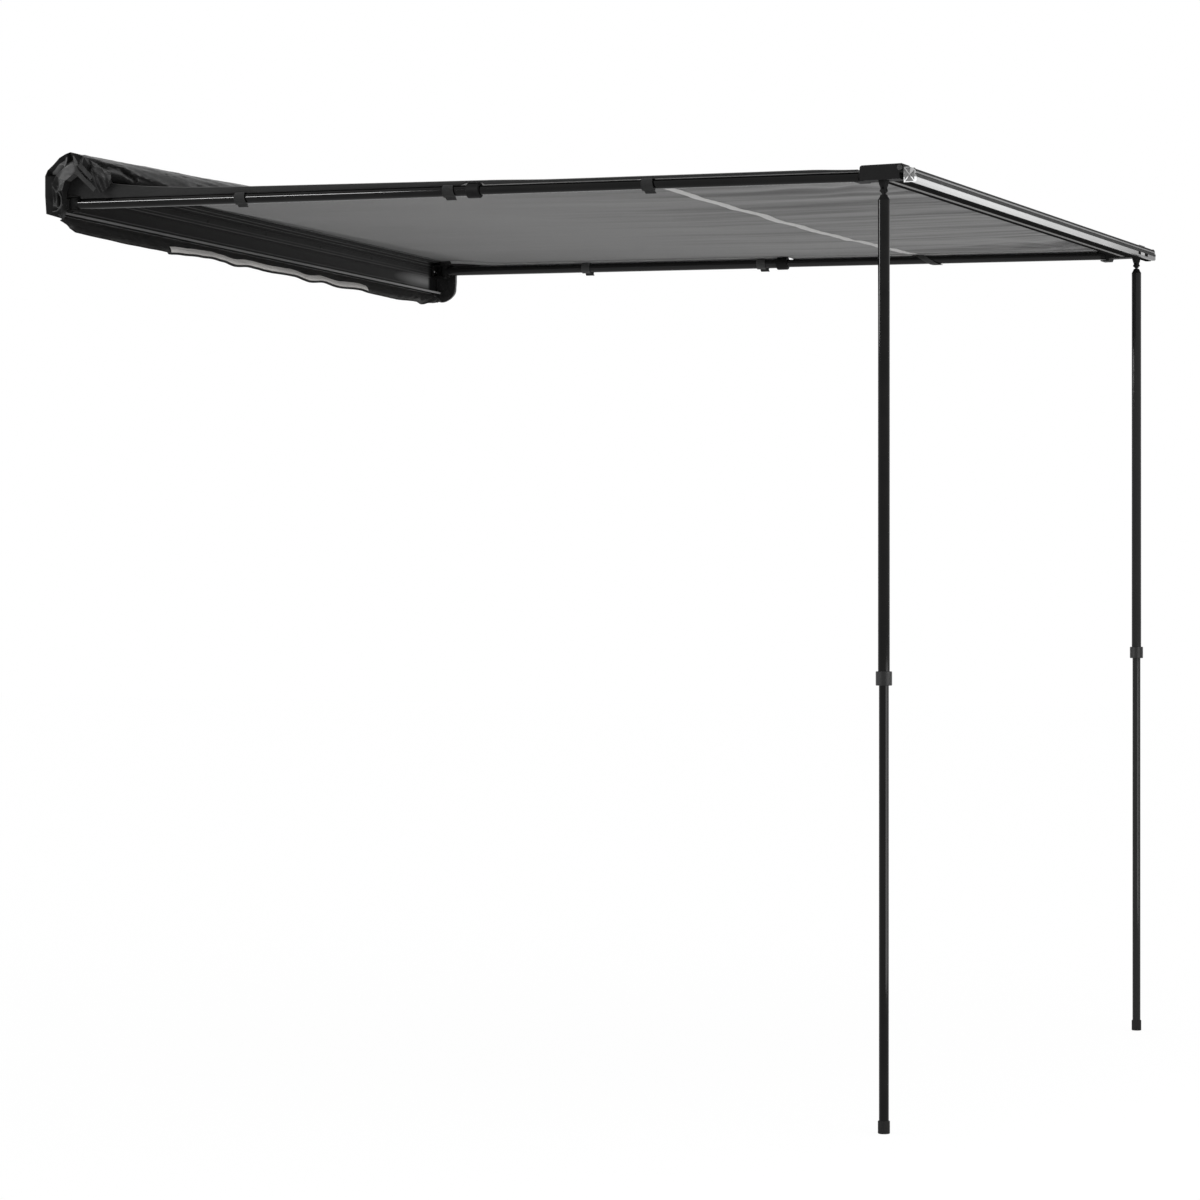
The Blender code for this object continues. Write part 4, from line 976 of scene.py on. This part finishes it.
lining_grid = []
for x in (x for x in flap_x if LINING_FROM < x < LINING_TO):
    line = []
    fray = 0.0012 * ripple(x * 30, 1.0, 1.0)
    for up in spread(0.0172 + fray, 0.0030, 7):
        v = 1 - up / (FLAP_TOP - flap_edge(x))
        line.append(Vector(flap_line(x, v)) + Vector((0, -0.0024, 0)))
    lining_grid.append(line)
lining = shell("bag_lining", lining_grid, 0.0006, LINING)
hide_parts("bag_lining_strip")

# The far end: its outline as (out, up) points, and how wide and how deep its rings are
FAR_END = [
    (0.0, -0.050), (-0.006, -0.064), (-0.020, -0.0715), (-0.0345, -0.0738), (-0.0507, -0.0690),
    (-0.0660, -0.0580), (-0.0735, -0.0440), (-0.0755, -0.0250), (-0.0755, 0.030), (-0.066, 0.070),
    (-0.046, 0.092), (-0.022, 0.098), (0.0, 0.088),
]
FAR_RINGS = [
    (1.0, 0.0), (1.0, 0.35), (0.97, 0.75), (0.88, 0.97), (0.74, 1.0), (0.56, 0.94), (0.36, 0.86),
    (0.16, 0.80),
]
FAR_DEPTH = 0.017


def rounded(points, steps):
    """A closed smooth line through an outline's points."""
    count = len(points)
    made = []
    for i in range(count):
        p0, p1, p2, p3 = (Vector(points[(i + k) % count]) for k in (-1, 0, 1, 2))
        for k in range(steps):
            t = k / steps
            made.append(0.5 * (2 * p1 + (p2 - p0) * t + (2 * p0 - 5 * p1 + 4 * p2 - p3) * t * t
                               + (3 * p1 - p0 - 3 * p2 + p3) * t ** 3))
    return made


def far_end():
    """The crumpled far end: rings that shrink and sink towards a slack middle."""
    line = rounded(FAR_END, 5)
    middle = sum(line, Vector((0, 0))) / len(line)
    rings = []
    for share, out in FAR_RINGS:
        ring = []
        for u, v in (middle + (point - middle) * share for point in line):
            crumple = ripple(u * 45, v * 45, 3.0) * 0.16 + ripple(u * 90, v * 90, 5.0) * 0.08
            depth = FAR_DEPTH * (out + crumple * min(out * 2, 1))
            ring.append((BAG_HALF + GAP + min(max(depth, 0.0), FAR_DEPTH), min(u, -0.001), v))
        rings.append(ring)
    made = loft("bag_far_gusset", rings, BAG_CLOTH)
    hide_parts("bag_far_end")


far_end()

# The near end, folded flat and crumpled: (out from the vehicle, up, depth) of its rim and of its folds
NEAR_DEEPEST = 0.0275
NEAR_RIM = [
    (0.000, -0.052, 0.022), (0.000, -0.010, 0.027), (0.000, 0.036, 0.027), (-0.006, 0.049, 0.026),
    (-0.022, 0.062, 0.025), (-0.038, 0.077, 0.025), (-0.055, 0.085, 0.025), (-0.068, 0.0885, 0.025),
    (-0.082, 0.085, 0.022), (-0.100, 0.077, 0.018), (-0.109, 0.060, 0.012), (-0.103, 0.046, 0.014),
    (-0.084, 0.0425, 0.024), (-0.066, 0.0315, 0.024), (-0.052, 0.0225, 0.024), (-0.043, 0.000, 0.022),
    (-0.042, -0.030, 0.018), (-0.040, -0.052, 0.012), (-0.034, -0.063, 0.006),
]
NEAR_FOLDS = [
    (-0.012, 0.0475, 0.021), (-0.032, 0.0615, 0.021), (-0.045, 0.060, 0.019), (-0.047, 0.0565, 0.006),
    (-0.021, 0.038, 0.005), (-0.003, 0.040, 0.006), (-0.050, 0.0555, 0.024), (-0.0235, 0.0355, 0.020),
    (-0.074, 0.069, 0.022), (-0.0795, 0.060, 0.025), (-0.062, 0.083, 0.012), (-0.0625, 0.0715, 0.006),
    (-0.0695, 0.0715, 0.008), (-0.0725, 0.081, 0.023), (-0.0555, 0.072, 0.020), (-0.046, 0.070, 0.013),
    (-0.029, 0.029, 0.017), (-0.088, 0.074, 0.010), (-0.0855, 0.062, 0.012), (-0.096, 0.062, 0.021),
    (-0.093, 0.050, 0.012), (-0.010, 0.018, 0.016), (-0.024, 0.012, 0.010), (-0.034, 0.010, 0.021),
    (-0.012, -0.014, 0.010), (-0.026, -0.003, 0.019), (-0.033, -0.012, 0.004), (-0.035, -0.026, 0.003),
    (-0.026, -0.020, 0.016), (-0.014, -0.036, 0.014), (-0.027, -0.038, 0.015), (-0.020, -0.048, 0.007),
]
NEAR_CREASES = [
    (3, 4), (5, 4), (6, 7), (6, 8), (10, 11), (11, 12), (12, 13), (26, 27), (25, 28), (8, 9), (23, 25),
]


def near_end():
    """The near end as flat facets between sharp folds, with small wrinkles over them."""
    rim = len(NEAR_RIM)
    points = NEAR_RIM + NEAR_FOLDS
    edges = [(i, (i + 1) % rim) for i in range(rim)] + [(rim + a, rim + b) for a, b in NEAR_CREASES]
    flat = [Vector(point[:2]) for point in points]
    corners, _, facets = geometry.delaunay_2d_cdt(flat, edges, [[*range(rim)]], 1, 0.00001)[:3]
    depth = {tuple(place): point[2] for place, point in zip(flat, points)}
    mesh = bmesh.new()
    base = -BAG_HALF - GAP
    for u, v in corners:
        nearest = min(depth, key=lambda key: (key[0] - u) ** 2 + (key[1] - v) ** 2)
        mesh.verts.new((base - depth[nearest], u, v))
    mesh.verts.ensure_lookup_table()
    for face in facets:
        mesh.faces.new([mesh.verts[i] for i in face])
    bmesh.ops.subdivide_edges(mesh, edges=mesh.edges[:], cuts=7, use_grid_fill=True)
    bmesh.ops.triangulate(mesh, faces=[face for face in mesh.faces if len(face.verts) > 4])
    for _ in range(3):
        bmesh.ops.smooth_vert(mesh, verts=[v for v in mesh.verts if not v.is_boundary], factor=0.5,
                              use_axis_x=True, use_axis_y=True, use_axis_z=True)
    for vert in mesh.verts:
        x, u, v = vert.co
        wrinkle = 0.0004 * ridge(u * 40 + v * 20, v * 40 - u * 20, 3.0)
        vert.co.x = min(max(x - wrinkle * (not vert.is_boundary), base - NEAR_DEEPEST), base - 0.001)
    rim_edges = [edge for edge in mesh.edges if edge.is_boundary]
    grown = bmesh.ops.extrude_edge_only(mesh, edges=rim_edges)["geom"]
    for vert in (part for part in grown if isinstance(part, bmesh.types.BMVert)):
        vert.co.x = base
    bmesh.ops.holes_fill(mesh, edges=[edge for edge in mesh.edges if edge.is_boundary])
    bmesh.ops.recalc_face_normals(mesh, faces=mesh.faces[:])
    mesh.verts.index_update()
    points = [vert.co.copy() for vert in mesh.verts]
    faces = [[vert.index for vert in face.verts] for face in mesh.faces]
    mesh.free()
    made = piece("bag_near_gusset", points, faces, END_CLOTH)
    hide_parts("bag_near_end")


near_end()

# The near end's piping: (out, up)
END_CORD = [
    (0.027, 0.001), (0.034, -0.003), (0.0395, -0.014), (0.0405, -0.028), (0.037, -0.040), (0.028, -0.046),
    (0.014, -0.047),
]
cord = [Vector((-BAG_HALF - GAP - 0.0215 + 0.25 * abs(out - 0.034), -out, up)) for out, up in END_CORD]
loft("bag_near_piping", cord_rings(cord, 0.0014), RING)

# Gathered cloth that hangs from the near end over the canopy's corner
DRAPE_X = -1.0050
drape_grid = []
for t in spread(0, 1, 60):
    line = []
    top = Vector((-0.086 - 0.078 * t, 0.072 - 0.034 * t))
    foot = Vector((-0.134 - 0.032 * t, -0.008 + 0.024 * t ** 1.5))
    for v in spread(0, 1, 30):
        at = top + (foot - top) * v
        pleat = 0.0010 * math.sin(22 * t + 4 * v) * v
        pleat += 0.0012 * ridge(t * 3.0 + v * 0.8, v * 1.2, 2.0) * (1 - 0.5 * v)
        line.append((DRAPE_X - 0.003 * math.sin(math.pi * v) + pleat, at.x, at.y))
    drape_grid.append(line)
drape = shell("bag_corner_drape", drape_grid, -0.001, END_CLOTH)

TIE_X = -1.0335


def tie_strip(name, start, stop, half, out):
    """A narrow webbing strip on the near end, from one (out, up) place to another."""
    start, stop = Vector(start), Vector(stop)
    aside = (stop - start).normalized()
    aside = Vector((-aside.y, aside.x)) * half
    grid = []
    for v in spread(0, 1, 24):
        curl = 0.0006 * math.sin(9 * v + out * 900)
        at = start + (stop - start) * v
        grid.append([(TIE_X + out + curl + 0.0006 * abs(w), *(at + aside * w)) for w in spread(-1, 1, 5)])
    return shell(name, grid, 0.0009, TIE_WEB)


tie = tie_strip("bag_tie_band", (-0.0840, 0.0440), (-0.1370, -0.0040), 0.0052, 0.0004)
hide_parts("bag_tie")
tail = tie_strip("bag_tie_tail", (-0.0960, 0.0570), (-0.1290, 0.0230), 0.0051, -0.0012)

# Frayed edge of the canopy where it enters the sail track
fray_grid = []
for x in spread(-0.955, BACK_HALF - 0.02, 700):
    reach = 0.012 + 0.010 * abs(ripple(x * 90, 1.0, 5.0)) + 0.006 * ripple(x * 7, 3.0, 3.0)
    line = [CANOPY_IN - 0.001 - reach * v for v in spread(0, 1, 4)]
    fray_grid.append([(x, y, cloth_height(x, y) - UNDER_FRAY) for y in line])
fray = shell("canopy_track_edge", fray_grid, 0.0005, FRAY)

# The canopy's side edges turned down inside the hems, and a pale patch at the webbing strip's far end
TURN_IN, TURN_OUT = ARM_X - 0.0040, ARM_X + 0.0045
TURN_UNDER = 0.0014
TURN_DROP = 0.0066
TURN_CLEAR = 0.0018
PATCH_FROM, PATCH_TO = -1.400, -1.578
PATCH_PROUD = 0.0010
PATCH_LEAST, PATCH_MORE = 0.0020, 0.0050


def turned_strip(name, end, y_from, y_to, drop, proud, look):
    """A narrow strip under the canopy's edge that leans out to its hem; drop gives its height along it."""
    grid = []
    for v in spread(0, 1, 160):
        y = y_from + (y_to - y_from) * v
        top = cloth_height(SIDE[end] * TURN_IN, y) - TURN_UNDER - proud / 2
        low = min(max(top - drop(v), hem_floor(end, y) + TURN_CLEAR), top - 0.0002)
        grid.append([(SIDE[end] * (TURN_IN - proud + (TURN_OUT - TURN_IN) * down), y,
                      top + (low - top) * down) for down in spread(0, 1, 5)])
    return shell(name, grid, SIDE[end] * 0.0003, look)


turned = {}
for end in SIDE:
    turned[end] = turned_strip(f"{end}_canopy_turned_edge", end, CANOPY_IN - 0.04, BLOCK_EDGE + 0.01,
                               lambda v: TURN_DROP, 0.0, EDGE_CLOTH)
patch = turned_strip("canopy_web_patch", "far", PATCH_FROM, PATCH_TO,
                     lambda v: PATCH_LEAST + PATCH_MORE * ease(v / 0.3) * ease((1 - v) / 0.25),
                     PATCH_PROUD, PALE_WEB)

for soft in (canopy, web, fray, patch, *turned.values(), *hems.values()):
    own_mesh(soft)

# Black gasket along the underside of the silver rail
rail_near, rail_far = (corner[0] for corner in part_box("lead_rail"))
gasket_rings = []
for x in spread(rail_near + 0.0005, rail_far - 0.0005, 80):
    under = rail_height(x) - 0.0083
    gasket_rings.append([(x, -2.1188, under), (x, -2.1032, under), (x, -2.1040, under - 0.0007),
                         (x, -2.1110, under - 0.0010), (x, -2.1180, under - 0.0007)])
loft("rail_gasket", gasket_rings, GASKET, "rail")


def rail_strip(name, line, start, stop, steps, look):
    """A thin strip along the silver rail, over a line of (out, up) points of its section."""
    grid = [[(x, out, rail_height(x) + up) for out, up in line] for x in spread(start, stop, steps)]
    shell(name, grid, -0.0004, look, "rail")


# Dark strips along the silver rail's face: painted shade over its groove, and a painted reflection along
# its rounded shoulder
SHOULDER = [math.radians(turn) for turn in (74, 68, 62, 56)]
RAIL_DARK_BANDS = {
    "rail_groove_inlay": [(-2.1308, 0.0026 + 0.0019 * i) for i in range(4)],
    "rail_shoulder_inlay": [(-2.1109 - 0.01916 * math.sin(turn), 0.0120 + 0.0124 * math.cos(turn))
                            for turn in SHOULDER],
}
for name, line in RAIL_DARK_BANDS.items():
    rail_strip(name, line, rail_near + 0.0010, rail_far - 0.0010, 120, RAIL_DARK_BAND_LOOK)

# Clip over the far end of the silver rail's bright face: dark, pale and dark bars
CLIP_LINE = [(-2.1307, -0.0048), (-2.1309, 0.0), (-2.1307, 0.0020)]
CLIP_BARS = [(0.842, 0.862, GASKET), (0.862, 0.902, CLIP), (0.902, 0.935, GASKET)]
for number, (start, stop, look) in enumerate(CLIP_BARS, 1):
    rail_strip(f"far_rail_clip_{number}", CLIP_LINE, start, stop, 8, look)

# Plugs just inside the silver rail's ends: (depth, share of the full width) of their rings
PLUG_RINGS = [(0.0016, 0.90), (0.0012, 0.97), (0.0016, 1.0), (0.0040, 1.0)]
PLUG_OUTLINE = [(-1, -0.8), (-0.8, -1), (0.8, -1), (1, -0.8), (1, 0.8), (0.8, 1), (-0.8, 1), (-1, 0.8)]
for end, face in (("near", rail_near), ("far", rail_far)):
    inward = -SIDE[end]
    plug = []
    for depth, share in PLUG_RINGS:
        x = face + inward * depth
        middle = Vector((-2.1165, rail_height(x) + 0.0078))
        plug.append([(x, middle.x + 0.0118 * share * out, middle.y + 0.0138 * share * up)
                     for out, up in PLUG_OUTLINE])
    loft(f"{end}_rail_plug", plug, PLUG, "rail")


# Stage, light and camera
FLOOR_CORNERS = [(-40, -40), (40, -40), (40, 40), (-40, 40)]
FLOOR_GLOW = 0.93
FLOOR_SHADE = 0.11
FLOOR_PLAIN = 0.85
WORLD_LIGHT = 0.62


def seen_directly(tree):
    """1 where the camera sees a thing, also mirrored or through something clear, and 0 for other light."""
    path = tree.nodes.new("ShaderNodeLightPath")
    seen = path.outputs["Is Camera Ray"]
    for ray in ("Is Glossy Ray", "Is Transmission Ray"):
        either = tree.nodes.new("ShaderNodeMath")
        either.operation = "MAXIMUM"
        tree.links.new(seen, either.inputs[0])
        tree.links.new(path.outputs[ray], either.inputs[1])
        seen = either.outputs[0]
    return seen


def backdrop_material():
    """White to the camera and in reflections, with a faint shadow; pale and matt to other light."""
    material = bpy.data.materials.new("white_floor")
    material.use_nodes = True
    tree = material.node_tree
    tree.nodes.clear()
    glow = tree.nodes.new("ShaderNodeEmission")
    shade = tree.nodes.new("ShaderNodeBsdfDiffuse")
    plain = tree.nodes.new("ShaderNodeBsdfDiffuse")
    both = tree.nodes.new("ShaderNodeAddShader")
    mix = tree.nodes.new("ShaderNodeMixShader")
    out = tree.nodes.new("ShaderNodeOutputMaterial")
    set_inputs(glow, {"Strength": FLOOR_GLOW})
    set_inputs(shade, {"Color": grey(FLOOR_SHADE)})
    set_inputs(plain, {"Color": grey(FLOOR_PLAIN)})
    for start, stop in ((seen_directly(tree), mix.inputs[0]), (plain.outputs[0], mix.inputs[1]),
                        (both.outputs[0], mix.inputs[2]), (glow.outputs[0], both.inputs[0]),
                        (shade.outputs[0], both.inputs[1]), (mix.outputs[0], out.inputs["Surface"])):
        tree.links.new(start, stop)
    return material


mesh = bpy.data.meshes.new("floor")
mesh.from_pydata([(x, y, GROUND_Z) for x, y in FLOOR_CORNERS], [], [(0, 1, 2, 3)])
mesh.materials.append(backdrop_material())
floor = placed("floor", mesh)

world = bpy.data.worlds.new("studio")
world.use_nodes = True
bpy.context.scene.world = world
studio = world.node_tree
background = studio.nodes["Background"]
level = studio.nodes.new("ShaderNodeMapRange")
set_inputs(level, {"To Min": WORLD_LIGHT})
set_inputs(background, {"Color": grey(1.0)})
studio.links.new(seen_directly(studio), level.inputs["Value"])
studio.links.new(level.outputs["Result"], background.inputs["Strength"])


def softbox(name, place, aim, width, height, radiance, gloss_only=False):
    """An area light; a gloss-only one is a card that shows in highlights without lighting the scene."""
    light = bpy.data.lights.new(name, "AREA")
    light.shape = "RECTANGLE"
    light.size = width
    light.size_y = height
    light.energy = radiance * math.pi * width * height
    made = placed(name, light)
    place, aim = Vector(place), Vector(aim)
    turn = (place - aim).to_track_quat("Z", "Y").to_matrix().to_4x4()
    made.matrix_world = Matrix.Translation(place) @ turn
    made.visible_camera = False
    made.visible_diffuse = not gloss_only


softbox("side_card", (-7.8, 4.6, 2.90), (-1.0, -0.4, 0.0), 3.4, 1.0, 72.0, True)
softbox("leg_card", (-2.5, 3.5, 0.80), (-1.0, -2.1, -0.2), 0.9, 1.4, 19.0, True)
softbox("key", (-4.0, -6.0, 3.0), (-0.5, -1.0, 0.0), 3.0, 2.0, 1.6)
softbox("low_fill", (-1.2, -5.0, -1.7), (0.0, 0.0, -0.05), 3.0, 1.2, 4.8)

camera = placed("camera", bpy.data.cameras.new("camera"))
camera.data.lens = CAMERA_LENS
camera.data.sensor_width = 36.0
camera.data.shift_y = CAMERA_SHIFT
camera.data.clip_end = 200.0
camera.location = CAMERA_PLACE
camera.rotation_euler = Vector(CAMERA_AHEAD).to_track_quat("-Z", "Y").to_euler()
bpy.context.scene.camera = camera
bpy.context.scene.view_settings.view_transform = "Standard"
